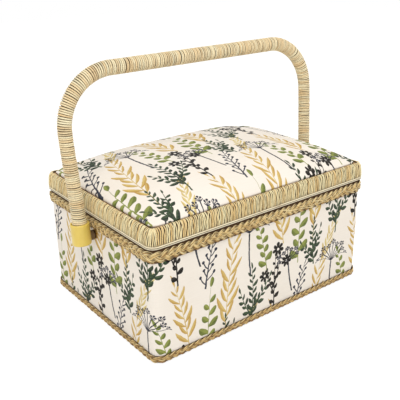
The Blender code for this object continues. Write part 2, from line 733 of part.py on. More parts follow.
def handle_path(height_step):
    """Centre line of the handle as (place across, rise over the pivot), from left to right."""
    top_x = handle_half_span + HANDLE_BOW
    arc_bottom = handle_rise - HANDLE_CORNER_RADIUS
    points = []
    rise = CORE_FOOT_RISE
    while rise < arc_bottom:
        share = max(rise - ferrule_top, 0) / (arc_bottom - ferrule_top)
        bow = HANDLE_BOW * math.sin(share * math.pi / 2) ** 2
        points.append((handle_half_span + bow, rise))
        rise += height_step
    arc_steps = round(HANDLE_CORNER_RADIUS * math.pi / 2 / height_step)
    for step in range(arc_steps + 1):
        angle = step / arc_steps * math.pi / 2
        across = top_x - HANDLE_CORNER_RADIUS * (1 - math.cos(angle))
        points.append((across, arc_bottom + HANDLE_CORNER_RADIUS * math.sin(angle)))
    bar_half = top_x - HANDLE_CORNER_RADIUS
    bar_steps = math.ceil(bar_half / height_step)
    for step in range(1, bar_steps + 1):
        points.append((bar_half * (1 - step / bar_steps), handle_rise))
    left = [Vector((-across, rise)) for across, rise in points]
    right = [Vector((across, rise)) for across, rise in reversed(points[:-1])]
    return left + right


class HandleLine:
    """The handle's centre line with its length, to read a place and its frame along it."""

    def __init__(self, step):
        self.points = handle_path(step)
        self.lengths = [0.0]
        for first, second in zip(self.points, self.points[1:]):
            self.lengths.append(self.lengths[-1] + (second - first).length)
        self.length = self.lengths[-1]
        self.index = 0

    def frame(self, along):
        """Place on the line and the two directions across it: in the handle's plane, and Y."""
        while self.index < len(self.points) - 2 and self.lengths[self.index + 1] < along:
            self.index += 1
        while self.index > 0 and self.lengths[self.index] > along:
            self.index -= 1
        first, second = self.points[self.index], self.points[self.index + 1]
        start, end = self.lengths[self.index], self.lengths[self.index + 1]
        share = (along - start) / (end - start)
        place = first.lerp(second, share)
        before = self.points[max(self.index - 1, 0)]
        after = self.points[min(self.index + 2, len(self.points) - 1)]
        tangent = (second - first).normalized()
        near = (first - before).normalized() if self.index else tangent
        far = (after - second).normalized() if after != second else tangent
        start_tangent = (near + tangent).normalized()
        end_tangent = (far + tangent).normalized()
        tangent = start_tangent.lerp(end_tangent, share).normalized()
        return Vector((place.x, 0, place.y)), Vector((-tangent.y, 0, tangent.x))

    def point(self, along, angle, radius):
        place, across = self.frame(along)
        return place + radius * (math.cos(angle) * across + math.sin(angle) * Vector((0, 1, 0)))


def ring_at(bm, line, along, radius):
    """A ring of vertices round the handle's line."""
    angles = [2 * math.pi * side / WINDING_SIDES for side in range(WINDING_SIDES)]
    return [bm.verts.new(line.point(along, angle, radius)) for angle in angles]


def build_core():
    """The bent rod inside the winding, from one ferrule to the other."""
    line = HandleLine(HANDLE_CORNER_RADIUS / CORE_STEPS)
    bm = bmesh.new()
    rings = [ring_at(bm, line, along, CORE_RADIUS) for along in line.lengths]
    for first, second in zip(rings, rings[1:]):
        bridge(bm, first, second)
    bm.faces.new(rings[0])
    bm.faces.new(rings[-1])
    return finish("handle_core", bm, wood_material)


def winding_radius(along, length):
    """Outer radius of the winding, a little fuller on the bar than on the posts."""
    post = handle_rise - HANDLE_CORNER_RADIUS
    edge = min(along, length - along)
    share = min(max((edge - post) / HANDLE_CORNER_RADIUS, 0), 1)
    return post_winding_radius + (bar_winding_radius - post_winding_radius) * share


def build_winding():
    """Cord wound round the core: one unbroken helical ridge from cup to cup, over a plain bore."""
    line = HandleLine(HANDLE_CORNER_RADIUS / WINDING_STEPS)
    start = ferrule_top - FERRULE_CUP_DEPTH + SEAT_GAP * 2 - CORE_FOOT_RISE
    end = line.length - start
    pitch = (end - start) / (WINDING_TURNS + 1)
    sides = WINDING_SIDES
    steps = WINDING_TURNS * sides
    bm = bmesh.new()
    crest, groove = [], []
    for step in range(steps + sides + 1):
        fade = min(step / sides, (steps + sides - step) / sides, 1)
        along = start + pitch * step / sides
        angle = 2 * math.pi * step / sides
        outer = winding_radius(along, line.length)
        inner = outer - WINDING_GROOVE
        crest.append(bm.verts.new(line.point(along, angle, inner + WINDING_GROOVE * fade)))
        if step <= steps:
            groove_along = along + pitch / 2
            groove.append(bm.verts.new(line.point(groove_along, angle, inner)))
    for step in range(steps):
        bm.faces.new((crest[step], crest[step + 1], groove[step + 1], groove[step]))
        bm.faces.new((groove[step], groove[step + 1], crest[step + 1 + sides], crest[step + sides]))
    first_end = start - SEAT_GAP / 2
    last_end = end + SEAT_GAP / 2
    first_ring = ring_at(bm, line, first_end, post_winding_radius - WINDING_GROOVE)
    last_ring = ring_at(bm, line, last_end, post_winding_radius - WINDING_GROOVE)
    close_winding(bm, first_ring, crest[: sides + 1], groove[0], crest[0], crest[sides])
    close_winding(bm, last_ring, crest[steps:], groove[steps], crest[-1], crest[steps])
    core_line = HandleLine(HANDLE_CORNER_RADIUS / CORE_STEPS)
    core_last = core_line.length - (line.length - last_end)
    stations = [along for along in core_line.lengths if first_end < along < core_last]
    rings = [first_ring]
    for along in [first_end, *stations, core_last]:
        rings.append(ring_at(bm, core_line, along, CORE_RADIUS + SEAT_GAP))
    rings.append(last_ring)
    for first, second in zip(rings, rings[1:]):
        bridge(bm, first, second)
    print("winding: turns", WINDING_TURNS, "pitch in mm", round(pitch * 1000, 2))
    return finish("handle_winding", bm, straw_material)


def close_winding(bm, ring, turn, groove, near, far):
    """Joins a plain ring to the winding's last turn, over which the cord tucks in."""
    sides = len(ring)
    for side in range(sides):
        bm.faces.new((ring[side], ring[(side + 1) % sides], turn[side + 1], turn[side]))
    bm.faces.new((ring[0], near, far))
    bm.faces.new((near, groove, far))


def build_ferrule(side, sign):
    """A plastic cup on the handle's end, with a boss towards the box and a blind bore."""
    bottom = -FERRULE_BELOW_PIVOT
    top = ferrule_top
    profile = [
        (bottom, 0),
        (bottom, ferrule_radius - FERRULE_EDGE),
        (bottom + FERRULE_EDGE, ferrule_radius),
        (top - FERRULE_EDGE / 2, ferrule_radius),
        (top, ferrule_radius - FERRULE_EDGE / 2),
        (top, cup_radius),
        (top - FERRULE_CUP_DEPTH, cup_radius),
        (top - FERRULE_CUP_DEPTH, CORE_RADIUS + SEAT_GAP),
        (CORE_FOOT_RISE - SEAT_GAP, CORE_RADIUS + SEAT_GAP),
        (CORE_FOOT_RISE - SEAT_GAP, 0),
    ]
    place = (sign * handle_half_span, 0, 0)
    ferrule = turned(f"ferrule_{side}", profile, ferrule_material, place, "Z")
    boss_start = washer_outer + RUNNING_GAP
    boss_end = handle_half_span - ferrule_radius / 2
    boss_middle = sign * (boss_start + boss_end) / 2
    fuse(ferrule, rod_cutter((boss_middle, 0, 0), "X", BOSS_RADIUS, boss_end - boss_start, BOSS_STEPS))
    bore_end = handle_half_span + BOLT_REACH + SEAT_GAP
    bore_start = boss_start - CUT_OVERRUN
    bore_middle = sign * (bore_start + bore_end) / 2
    cut(ferrule, rod_cutter((bore_middle, 0, 0), "X", bolt_bore, bore_end - bore_start, SMALL_STEPS))
    return ferrule


def build_pivots(pivot_joint):
    """Bolt from inside the box through the bush, with a washer under the ferrule's boss."""
    bolt_tip = handle_half_span + BOLT_REACH
    head_seat = inside_half.x - SEAT_GAP
    centre = (0, 0, pivot_height)
    for side, sign in sides.items():
        bolt_profile = [
            (head_seat - BOLT_HEAD_HEIGHT, 0),
            (head_seat - BOLT_HEAD_HEIGHT, BOLT_HEAD_RADIUS / 2),
            (head_seat - BOLT_HEAD_HEIGHT / 2, BOLT_HEAD_RADIUS),
            (head_seat, BOLT_HEAD_RADIUS),
            (head_seat, BOLT_RADIUS),
            (bolt_tip, BOLT_RADIUS),
            (bolt_tip, 0),
        ]
        bolt_profile = [(sign * along, radius) for along, radius in bolt_profile]
        bolt = turned(f"pivot_bolt_{side}", bolt_profile, steel_material, centre, "X", SMALL_STEPS)
        washer_profile = [
            (washer_inner, bolt_bore),
            (washer_inner, WASHER_RADIUS),
            (washer_outer, WASHER_RADIUS),
            (washer_outer, bolt_bore),
        ]
        washer_profile = [(sign * along, radius) for along, radius in washer_profile]
        washer = turned(f"pivot_washer_{side}", washer_profile, steel_material, centre, "X", SMALL_STEPS)
        carry(pivot_joint, bolt, washer)


def build_bushes():
    """Flanged bushes in the side walls, and the holes that they sit in."""
    inner = inside_half.x
    flange_seat = cover_half.x + SEAT_GAP
    for side, sign in sides.items():
        profile = [
            (inner, bolt_bore),
            (inner, bush_radius),
            (flange_seat, bush_radius),
            (flange_seat, bush_flange_radius),
            (bush_flange_outer, bush_flange_radius),
            (bush_flange_outer, bolt_bore),
        ]
        profile = [(sign * along, radius) for along, radius in profile]
        centre = (0, 0, pivot_height)
        turned(f"pivot_bush_{side}", profile, brass_material, centre, "X", SMALL_STEPS)
        middle = (sign * (inner + cover_half.x) / 2, 0, pivot_height)
        length = cover_half.x - inner + 2 * CUT_OVERRUN
        for name in ("outer_cover", "inner_lining", f"{side}_board"):
            hole = rod_cutter(middle, "X", bush_radius + SEAT_GAP, length, SMALL_STEPS)
            cut(bpy.data.objects[name], hole)


# Tray

def build_tray(tray_joint):
    """Moulded tray with a rim bead, one long divider and short dividers behind it."""
    inner_offset = -TRAY_RIM_WIDTH - TRAY_WALL
    bm = bmesh.new()
    loops = []
    for offset, height in (
        (-TRAY_RIM_WIDTH, tray_floor),
        (-TRAY_RIM_WIDTH, tray_top - TRAY_RIM_HEIGHT),
        (0, tray_top - TRAY_RIM_HEIGHT),
        (0, tray_top),
        (inner_offset, tray_top),
        (inner_offset, tray_floor + TRAY_WALL),
    ):
        half = tray_half + Vector((offset, offset))
        outline = rounded_outline(half, TRAY_CORNER_RADIUS + offset, TRAY_CORNER_STEPS)
        loops.append([bm.verts.new((*point, height)) for point in outline])
    for first, second in zip(loops, loops[1:]):
        bridge(bm, first, second)
    bm.faces.new(loops[0])
    bm.faces.new(loops[-1])
    carry(tray_joint, finish("tray", bm, tray_material))
    divider_offset = inner_offset - SEAT_GAP
    inner = tray_half + Vector((divider_offset, divider_offset))
    floor = tray_floor + TRAY_WALL + SEAT_GAP
    divider_top = tray_top - DIVIDER_DROP
    long_y = inner.y * LONG_DIVIDER_SHARE
    thick = DIVIDER_THICKNESS / 2
    low = (-inner.x, long_y - thick, floor)
    high = (inner.x, long_y + thick, divider_top)
    carry(tray_joint, block("tray_long_divider", low, high, tray_material))
    for number in range(1, SHORT_DIVIDER_COUNT + 1):
        x = -inner.x + 2 * inner.x * number / (SHORT_DIVIDER_COUNT + 1)
        low = (x - thick, long_y + thick + SEAT_GAP, floor)
        high = (x + thick, inner.y, divider_top)
        carry(tray_joint, block(f"tray_short_divider_{number}", low, high, tray_material))


for old in list(bpy.context.scene.objects):
    bpy.data.objects.remove(old)

print_material = make_material("printed cotton", CREAM_PRINT, 0.85)
straw_material = make_material("straw cord", STRAW, 0.70)
seagrass_material = make_material("seagrass braid", SEAGRASS, 0.75)
cord_material = make_material("pale piping", PALE_CORD, 0.60)
ferrule_material = make_material("yellow plastic", FERRULE_YELLOW, 0.35)
wood_material = make_material("beech", BEECH, 0.60)
board_material = make_material("fibre board", GREY_BOARD, 0.85)
satin_material = make_material("cream satin", CREAM_SATIN, 0.45)
felt_material = make_material("grey felt", GREY_FELT, 0.95)
brass_material = make_material("brass", BRASS, 0.35, metallic=1.0)
steel_material = make_material("zinc plated steel", STEEL, 0.40, metallic=1.0)
tray_material = make_material("clear plastic", CLEAR_PLASTIC, 0.25, alpha=0.5)
cutter_material = steel_material

lid_joint = joint_empty("lid_hinge_axis", (0, hinge_axis_y, hinge_axis_z))
pivot_joint = joint_empty("pivot_axis", (0, 0, pivot_height))
swing_joint = joint_empty("handle_swing_axis", (0, 0, pivot_height))
swing_joint.rotation_euler = (-HANDLE_TILT, 0, 0)
tray_joint = joint_empty("tray_lift_axis", (0, 0, tray_floor))

build_walls()
build_box_skins()
build_braids()
build_ledges()
build_bushes()
build_rails(lid_joint)
build_rim_trim(lid_joint)
build_lid_panels(lid_joint)
build_cushion(lid_joint)
build_hinges(lid_joint)
build_pivots(pivot_joint)
build_tray(tray_joint)
handle_pieces = [build_core(), build_winding()]
handle_pieces += [build_ferrule(side, sign) for side, sign in sides.items()]
for piece in handle_pieces:
    piece.parent = swing_joint
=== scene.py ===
"""Sewing basket: the finish of every surface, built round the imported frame.

Run as a script, it dresses the basket and lights it. Metres, +Z up, the front faces -Y. Each group of
pieces has its own operator, and the panel in the 3D view's sidebar lists them.
"""

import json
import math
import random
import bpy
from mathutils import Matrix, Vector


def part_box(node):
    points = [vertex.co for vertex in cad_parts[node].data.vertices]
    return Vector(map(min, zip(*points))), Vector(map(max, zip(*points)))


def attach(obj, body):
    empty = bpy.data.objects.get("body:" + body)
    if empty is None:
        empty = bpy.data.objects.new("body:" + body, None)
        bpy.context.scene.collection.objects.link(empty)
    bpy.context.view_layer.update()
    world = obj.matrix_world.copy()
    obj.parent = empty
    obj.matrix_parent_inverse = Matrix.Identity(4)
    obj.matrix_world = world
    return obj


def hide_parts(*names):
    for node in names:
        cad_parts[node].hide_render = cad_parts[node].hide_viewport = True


bl_info = {
    "name": "Sewing Basket Looks",
    "version": (1, 0, 0),
    "blender": (4, 5, 0),
    "location": "3D View > Sidebar > Basket",
    "description": "Dresses the sewing basket in cloth, straw cord, braid, plastic, wood and metal",
    "category": "Object",
}

import bmesh
import bpy
from bpy.props import FloatProperty, FloatVectorProperty, IntProperty, PointerProperty
from mathutils import Matrix, Vector, noise

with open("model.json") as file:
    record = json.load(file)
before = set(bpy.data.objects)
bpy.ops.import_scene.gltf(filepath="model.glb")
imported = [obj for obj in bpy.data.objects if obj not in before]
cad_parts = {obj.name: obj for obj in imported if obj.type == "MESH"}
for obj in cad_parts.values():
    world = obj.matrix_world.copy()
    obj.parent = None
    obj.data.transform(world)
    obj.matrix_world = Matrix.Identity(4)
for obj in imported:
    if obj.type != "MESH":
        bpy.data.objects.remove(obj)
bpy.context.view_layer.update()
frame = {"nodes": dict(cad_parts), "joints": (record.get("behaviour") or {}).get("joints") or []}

# Where the frame's pieces are
cover_low, cover_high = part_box("outer_cover")
wrap_low, wrap_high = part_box("rim_wrap")
piping_low, piping_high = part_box("rim_piping")
top_braid_low, top_braid_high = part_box("top_braid")
foot_braid_low, foot_braid_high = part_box("foot_braid")
cushion_low, cushion_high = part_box("lid_cushion")
lining_low, lining_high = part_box("inner_lining")
floor_low, floor_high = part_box("floor_pad")
felt_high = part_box("base_felt")[1]
lid_lining_low, lid_lining_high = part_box("lid_lining")
pocket_low, pocket_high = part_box("lid_pocket")
pincushion_low, pincushion_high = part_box("pincushion")
leaf_low, leaf_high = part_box("hinge_lower_leaf_left")
joints = {joint["name"]: joint for joint in frame["joints"]}
pivot = Vector(joints["handle_swing"]["pos_m"])

# Sizes that the looks share
TOUCH = 0.0003
BOX_CORNER_RADIUS = 0.0100
RIM_CORNER_RADIUS = 0.0102
LINING_CORNER_RADIUS = 0.0130
CUSHION_CORNER_RADIUS = 0.0060
HANDLE_TILT = math.radians(4.5)
HANDLE_HALF_SPAN = 0.1673
HANDLE_RISE = 0.1700
HANDLE_BOW = 0.0022
HANDLE_CORNER_RADIUS = 0.0580
FERRULE_RADIUS = 0.01025
FERRULE_BOTTOM = -0.0066
FERRULE_TOP = 0.0169
FERRULE_SOCKET_DEPTH = 0.0055
WINDING_RADIUS = 0.0076
WINDING_SWELL = 0.0006
CORE_RADIUS = 0.0055
BOSS_RADIUS = 0.0054
COTTON_THICKNESS = 0.0006
SATIN_THICKNESS = 0.0003
QUILT_SIZE = 0.034
QUILT_LOWEST = 0.15
QUILT_MESH = 0.0022

# Camera: the photograph's view, as turn and height of the eye, its roll, distance and lens
CAMERA_TURN = math.radians(-37.2)
CAMERA_HEIGHT = math.radians(22.07)
CAMERA_ROLL = math.radians(-1.25)
CAMERA_DISTANCE = 0.7504
CAMERA_TARGET = Vector((-0.0099, 0, 0.1082))
CAMERA_LENS = 56.78


def colour(red, green, blue):
    """A colour given as it shows on screen, from 0 to 255, as the linear value that Blender wants."""
    shares = [channel / 255 for channel in (red, green, blue)]
    return tuple(s / 12.92 if s <= 0.04045 else ((s + 0.055) / 1.055) ** 2.4 for s in shares)


# Node trees

class Value:
    """An output in a node tree. Sums, products and comparisons of it add Math nodes."""

    def __init__(self, graph, socket):
        self.graph = graph
        self.socket = socket

    def __add__(self, other):
        return self.graph.math("ADD", self, other)

    def __radd__(self, other):
        return self.graph.math("ADD", other, self)

    def __sub__(self, other):
        return self.graph.math("SUBTRACT", self, other)

    def __rsub__(self, other):
        return self.graph.math("SUBTRACT", other, self)

    def __mul__(self, other):
        return self.graph.math("MULTIPLY", self, other)

    def __truediv__(self, other):
        return self.graph.math("DIVIDE", self, other)

    def __pow__(self, other):
        return self.graph.math("POWER", self, other)

    def __abs__(self):
        return self.graph.math("ABSOLUTE", self)

    def __lt__(self, other):
        return self.graph.math("LESS_THAN", self, other)

    def __gt__(self, other):
        return self.graph.math("GREATER_THAN", self, other)


class Sockets:
    """The outputs of a node, or what a group is given, by name."""

    def __init__(self, graph, sockets):
        self.graph = graph
        self.sockets = sockets

    def __getitem__(self, name):
        return Value(self.graph, self.sockets[name])

    def __contains__(self, name):
        return name in self.sockets


class Graph:
    """Short calls that add and link the nodes of one tree."""

    def __init__(self, tree):
        self.tree = tree

    def node(self, kind, inputs=None, **settings):
        node = self.tree.nodes.new(kind)
        node.location = (180 * len(self.tree.nodes), 0)
        for key, value in settings.items():
            setattr(node, key, value)
        for key, value in (inputs or {}).items():
            self.feed(node.inputs[key], value)
        return node

    def feed(self, socket, value):
        if isinstance(value, Value):
            self.tree.links.new(value.socket, socket)
        else:
            socket.default_value = value

    def value(self, kind, inputs=None, output=0, **settings):
        """One output of a new node."""
        return Value(self, self.node(kind, inputs, **settings).outputs[output])

    def math(self, operation, *values):
        return self.value("ShaderNodeMath", dict(enumerate(values)), operation=operation)

    def largest(self, first, *others):
        for other in others:
            first = self.math("MAXIMUM", first, other)
        return first

    def unit(self, value):
        """Keeps a value from 0 to 1. Cycles puts a node's own clamp last, which overfills a long shader."""
        return self.math("MINIMUM", self.math("MAXIMUM", value, 0.0), 1.0)

    def distance(self, x, y):
        return self.math("SQRT", x * x + y * y)

    def mix(self, factor, first, second):
        """A colour between two, each of them a value or a plain colour."""
        first, second = (tone if isinstance(tone, Value) else (*tone, 1) for tone in (first, second))
        return self.value("ShaderNodeMix", {0: factor, 6: first, 7: second}, 2, data_type="RGBA")

    def split(self, vector):
        return Sockets(self, self.node("ShaderNodeSeparateXYZ", {0: vector}).outputs)

    def join(self, x, y, z=0.0):
        return self.value("ShaderNodeCombineXYZ", {0: x, 1: y, 2: z})

    def stretch(self, vector, scale):
        return self.value("ShaderNodeVectorMath", {0: vector, 1: scale}, operation="MULTIPLY")

    def noise(self, vector, scale, detail=3.0, roughness=0.5):
        inputs = {"Vector": vector, "Scale": scale, "Detail": detail, "Roughness": roughness}
        return self.value("ShaderNodeTexNoise", inputs)

    def ramp(self, value, low, high, start=0.0, end=1.0):
        inputs = {"Value": value, "From Min": low, "From Max": high, "To Min": start, "To Max": end}
        return self.value("ShaderNodeMapRange", inputs, clamp=True)

    def place(self):
        """Where a point lies on the object, in metres."""
        return self.value("ShaderNodeTexCoord", output="Object")

    def attribute(self, name):
        return self.value("ShaderNodeAttribute", output="Fac", attribute_name=name)

    def named(self, name, kind="FLOAT"):
        """An attribute that the mesh of a geometry tree has."""
        return self.value("GeometryNodeInputNamedAttribute", {"Name": name}, data_type=kind)

    def stored(self, geometry, name, value):
        inputs = {"Geometry": geometry, "Name": name, "Value": value}
        return self.value("GeometryNodeStoreNamedAttribute", inputs, data_type="FLOAT", domain="POINT")

    def dressed(self, geometry, material):
        """Real geometry with its material, which ends each geometry tree."""
        real = self.value("GeometryNodeRealizeInstances", {"Geometry": geometry})
        return self.value("GeometryNodeSetMaterial", {"Geometry": real, "Material": material})


groups = {}
NUMBER = "NodeSocketFloat"
VECTOR = "NodeSocketVector"


def node_group(name, kind, inputs, outputs, build):
    """A node group with named sockets, built once; build(graph, inputs) gives its outputs by name."""
    if name in groups:
        return groups[name]
    tree = bpy.data.node_groups.new(name, kind)
    for label, (socket, default) in inputs.items():
        made = tree.interface.new_socket(label, in_out="INPUT", socket_type=socket)
        if default is not None:
            made.default_value = default
    for label, socket in outputs.items():
        tree.interface.new_socket(label, in_out="OUTPUT", socket_type=socket)
    graph = Graph(tree)
    entry = tree.nodes.new("NodeGroupInput")
    exit_node = tree.nodes.new("NodeGroupOutput")
    for label, value in build(graph, Sockets(graph, entry.outputs)).items():
        graph.feed(exit_node.inputs[label], value)
    groups[name] = tree
    return tree


def shader_group(name, inputs, outputs, build):
    """A shader group of numbers. An input with no default is a vector."""
    sockets = {label: (VECTOR if default is None else NUMBER, default) for label, default in inputs.items()}
    return node_group(name, "ShaderNodeTree", sockets, dict.fromkeys(outputs, NUMBER), build)


def use(graph, tree, inputs):
    """Places a shader group in a tree and gives its outputs."""
    node = graph.tree.nodes.new("ShaderNodeGroup")
    node.node_tree = tree
    for key, value in inputs.items():
        graph.feed(node.inputs[key], value)
    return Sockets(graph, node.outputs)


# The print's motifs, drawn in metres on the flat cloth

PRINT_EDGE = 0.00022


def drawn_where(graph, distance):
    """1 where distance is well over nought, 0 where it is under, over the width of a printed edge."""
    return graph.unit(distance / PRINT_EDGE + 0.5)


def turn_plane(graph, x, y, angle):
    """The same point in axes turned clockwise by an angle."""
    sine = graph.math("SINE", angle)
    cosine = graph.math("COSINE", angle)
    return x * cosine - y * sine, y * cosine + x * sine


def place_group():
    """Finds a motif's own axes, from its foot up: half-drop repeat of its tile, then its place and turn."""
    def build(graph, given):
        parts = graph.split(given["Cloth"])
        across = parts[0] - given["Place X"]
        column = graph.math("FLOOR", across / given["Tile Width"] + 0.5)
        across = across - column * given["Tile Width"]
        drop = column * given["Tile Height"] * 0.5
        along = parts[1] - given["Place Y"] - drop
        row = graph.math("FLOOR", along / given["Tile Height"] + 0.5)
        along = along - row * given["Tile Height"]
        x, y = turn_plane(graph, across, along, given["Turn"])
        return {"X": x, "Y": y + given["Rise"]}

    inputs = {"Cloth": None, "Place X": 0.0, "Place Y": 0.0, "Turn": 0.0, "Rise": 0.0, "Tile Width": 0.11,
              "Tile Height": 0.12}
    return shader_group("Print Place", inputs, ("X", "Y"), build)


def leaf_group():
    """One leaf on its stalk, with a berry at the tip where one is asked for, and its lit half."""
    def build(graph, given):
        sine = graph.math("SINE", given["Angle"])
        cosine = graph.math("COSINE", given["Angle"])
        ahead = given["Across"] * sine + given["Along"] * cosine
        signed = given["Across"] * cosine - given["Along"] * sine
        length = graph.largest(given["Length"], 0.00001)
        share = graph.unit(ahead / length)
        hump = share * (1.0 - share) * 4.0
        signed = signed - hump * length * 0.06
        aside = abs(signed)
        width = hump ** given["Fullness"] * given["Width"]
        blade = drawn_where(graph, width - aside)
        inside = (share > 0.001) * (share < 0.999)
        stalk = drawn_where(graph, given["Stalk"] - aside)
        reach = graph.distance(ahead - length, aside)
        berry = drawn_where(graph, given["Berry"] - reach) * given["Present"]
        mask = graph.largest(graph.largest(blade, stalk) * inside, berry)
        return {"Mask": mask, "Half": mask * (signed > 0.0)}

    inputs = {"Across": 0.0, "Along": 0.0, "Angle": 0.6, "Length": 0.01, "Width": 0.002, "Fullness": 0.8,
              "Stalk": 0.0003, "Berry": 0.0, "Present": 1.0}
    return shader_group("Print Leaf", inputs, ("Mask", "Half"), build)


SPRIG_INPUTS = {"X": 0.0, "Y": 0.0, "Height": 0.07, "Spacing": 0.01, "Leaf Length": 0.01, "Leaf Width": 0.002,
                "Angle": 0.6, "Fullness": 0.8, "Stalk": 0.0002, "Berry": 0.0, "Stem": 0.0004, "Bend": 0.005,
                "Bare": 0.12}
SPRIG_OUTPUTS = ("Mask", "Half")


def sprig_group():
    """A bent stem, up from its foot, with leaves or berries to both sides by turns, smaller to the tip."""
    leaf = leaf_group()

    def build(graph, given):
        along = given["Y"]
        rise = along / given["Height"]
        across = given["X"] - rise * rise * given["Bend"]
        shifted = along + (across < 0.0) * given["Spacing"] * 0.5
        step = graph.math("FLOOR", shifted / given["Spacing"])
        rest = shifted - step * given["Spacing"]
        aside = abs(across)
        same = {"Fullness": given["Fullness"], "Stalk": given["Stalk"], "Berry": given["Berry"]}
        leaves = []
        for back in (0.0, 1.0):
            index = step - back
            share = index * given["Spacing"] / given["Height"]
            present = (share > given["Bare"]) * (share < 0.93)
            wobble = graph.math("SINE", index * 2.4) * 0.12
            size = (1.12 + wobble - share * 0.5) * present
            leaves.append(use(graph, leaf, {
                **same, "Across": aside, "Along": rest + given["Spacing"] * back, "Present": present,
                "Angle": given["Angle"] + wobble, "Length": given["Leaf Length"] * size,
                "Width": given["Leaf Width"] * size,
            }))
        leaves.append(use(graph, leaf, {
            **same, "Across": across, "Along": along - given["Height"] * 0.97, "Angle": 0.0,
            "Length": given["Leaf Length"] * 0.75, "Width": given["Leaf Width"] * 0.6,
        }))
        stem = drawn_where(graph, given["Stem"] * (1.3 - rise) - aside) * ((rise > 0.0) * (rise < 0.99))
        return {"Mask": graph.largest(*(found["Mask"] for found in leaves), stem),
                "Half": graph.largest(*(found["Half"] for found in leaves))}

    return shader_group("Print Sprig", SPRIG_INPUTS, SPRIG_OUTPUTS, build)


def branch_group():
    """A sprig with a side branch to each side, the left one set lower."""
    sprig = sprig_group()

    def build(graph, given):
        passed = {name: given[name] for name in SPRIG_INPUTS}
        main = use(graph, sprig, passed)
        fork = given["Height"] * (given["Fork"] - (given["X"] < 0.0) * 0.14)
        x, y = turn_plane(graph, abs(given["X"]), given["Y"] - fork, given["Spread"])
        side = use(graph, sprig, {
            **passed, "X": x, "Y": y, "Bend": given["Height"] * -0.09,
            "Height": given["Height"] * given["Side Share"], "Leaf Length": given["Leaf Length"] * 0.85,
        })
        return {name: graph.largest(main[name], side[name]) for name in SPRIG_OUTPUTS}

    inputs = {**SPRIG_INPUTS, "Fork": 0.3, "Spread": 0.7, "Side Share": 0.55}
    return shader_group("Print Branch", inputs, SPRIG_OUTPUTS, build)


def fan(graph, x, y, length, rays, spread, line):
    """Curved rays that spread from a point, each second one shorter, and the place along and beside a ray."""
    radius = graph.distance(x, y)
    wedge = spread / rays
    angle = graph.math("ARCTAN2", x, y) * (1.35 - radius / length * 0.35)
    number = graph.math("FLOOR", angle / wedge + 0.5)
    rest = angle - number * wedge
    inside = abs(angle) < spread * 0.5
    reach = length * (1.0 - graph.math("PINGPONG", number, 1.0) * 0.16)
    aside = radius * graph.math("SINE", rest)
    ahead = radius * graph.math("COSINE", rest) - reach
    ray = drawn_where(graph, line - abs(aside)) * (ahead < 0.0) * inside
    return ray, aside, ahead, inside


def umbel_group():
    """An umbel: a fan of curved rays over a stem, each with a small fan of its own and seeds on that."""
    def build(graph, given):
        x, y, line = given["X"], given["Y"], given["Line"]
        ray, aside, ahead, inside = fan(graph, x, y, given["Radius"], given["Rays"], given["Spread"], line)
        small, beside, beyond, end_inside = fan(graph, aside, ahead, given["Tuft"], 5.0, 2.7, line * 0.7)
        seed = drawn_where(graph, given["Seed"] - graph.distance(beside, beyond))
        tuft = graph.largest(small, seed * end_inside) * inside
        stem = drawn_where(graph, line * 1.5 - abs(x - y * y * given["Sway"]))
        below = (y < 0.0) * (y > given["Stem Length"] * -1.0)
        return {"Mask": graph.largest(ray, tuft, stem * below)}

    inputs = {"X": 0.0, "Y": 0.0, "Radius": 0.018, "Rays": 8.0, "Spread": 2.6, "Line": 0.00054,
              "Tuft": 0.0048, "Seed": 0.0010, "Stem Length": 0.045, "Sway": 3.0}
    return shader_group("Print Umbel", inputs, ("Mask",), build)


def daisy_group():
    """A flower head with blunt petals round a light middle."""
    def build(graph, given):
        radius = graph.distance(given["X"], given["Y"])
        angle = graph.math("ARCTAN2", given["X"], given["Y"])
        petals = abs(graph.math("COSINE", angle * given["Petals"])) ** 0.6
        head = drawn_where(graph, given["Radius"] * (petals * 0.58 + 0.42) - radius)
        middle = drawn_where(graph, radius - given["Radius"] * 0.20)
        return {"Mask": head * middle}

    return shader_group("Print Daisy", {"X": 0.0, "Y": 0.0, "Radius": 0.006, "Petals": 3.5}, ("Mask",), build)


# Surfaces that more than one material has

def weave_group():
    """Plain weave of a woven cloth: its height, and its thicker threads."""
    def build(graph, given):
        threads = given["Threads"]
        scaled = graph.stretch(given["Cloth"], graph.join(threads, threads, threads))
        parts = graph.split(scaled)
        warp = graph.math("SINE", parts[0] * (2 * math.pi))
        weft = graph.math("SINE", parts[1] * (2 * math.pi))
        height = warp * weft + graph.noise(scaled, 0.35, 2.0)
        slub = graph.noise(graph.stretch(given["Cloth"], (40.0, 900.0, 400.0)), 1.0, 2.0)
        return {"Height": height, "Slub": slub}

    return shader_group("Plain Weave", {"Cloth": None, "Threads": 1800.0}, ("Height", "Slub"), build)


def straw_group():
    """Dried grass: fibres along the blade, their tone and height, and the painted shade in its gaps, from the
    cord's own attributes.
    """
    def build(graph, given):
        along = graph.attribute("along")
        around = graph.attribute("around")
        shade = graph.attribute("shade")
        angle = (around + along * given["Twist"]) * (2 * math.pi)
        ring = graph.join(graph.math("SINE", angle), graph.math("COSINE", angle),
                          along * given["Length Scale"] + shade * 37.0)
        fibre = graph.noise(ring, given["Fibres"], 3.0, 0.6)
        blotch = graph.noise(graph.place(), given["Blotch Scale"], 3.0, 0.6)
        return {"Fibre": fibre, "Blotch": blotch, "Shade": shade, "Depth": graph.attribute("depth")}

    inputs = {"Twist": 60.0, "Length Scale": 60.0, "Fibres": 2.5, "Blotch Scale": 45.0}
    return shader_group("Straw Fibre", inputs, ("Fibre", "Blotch", "Shade", "Depth"), build)


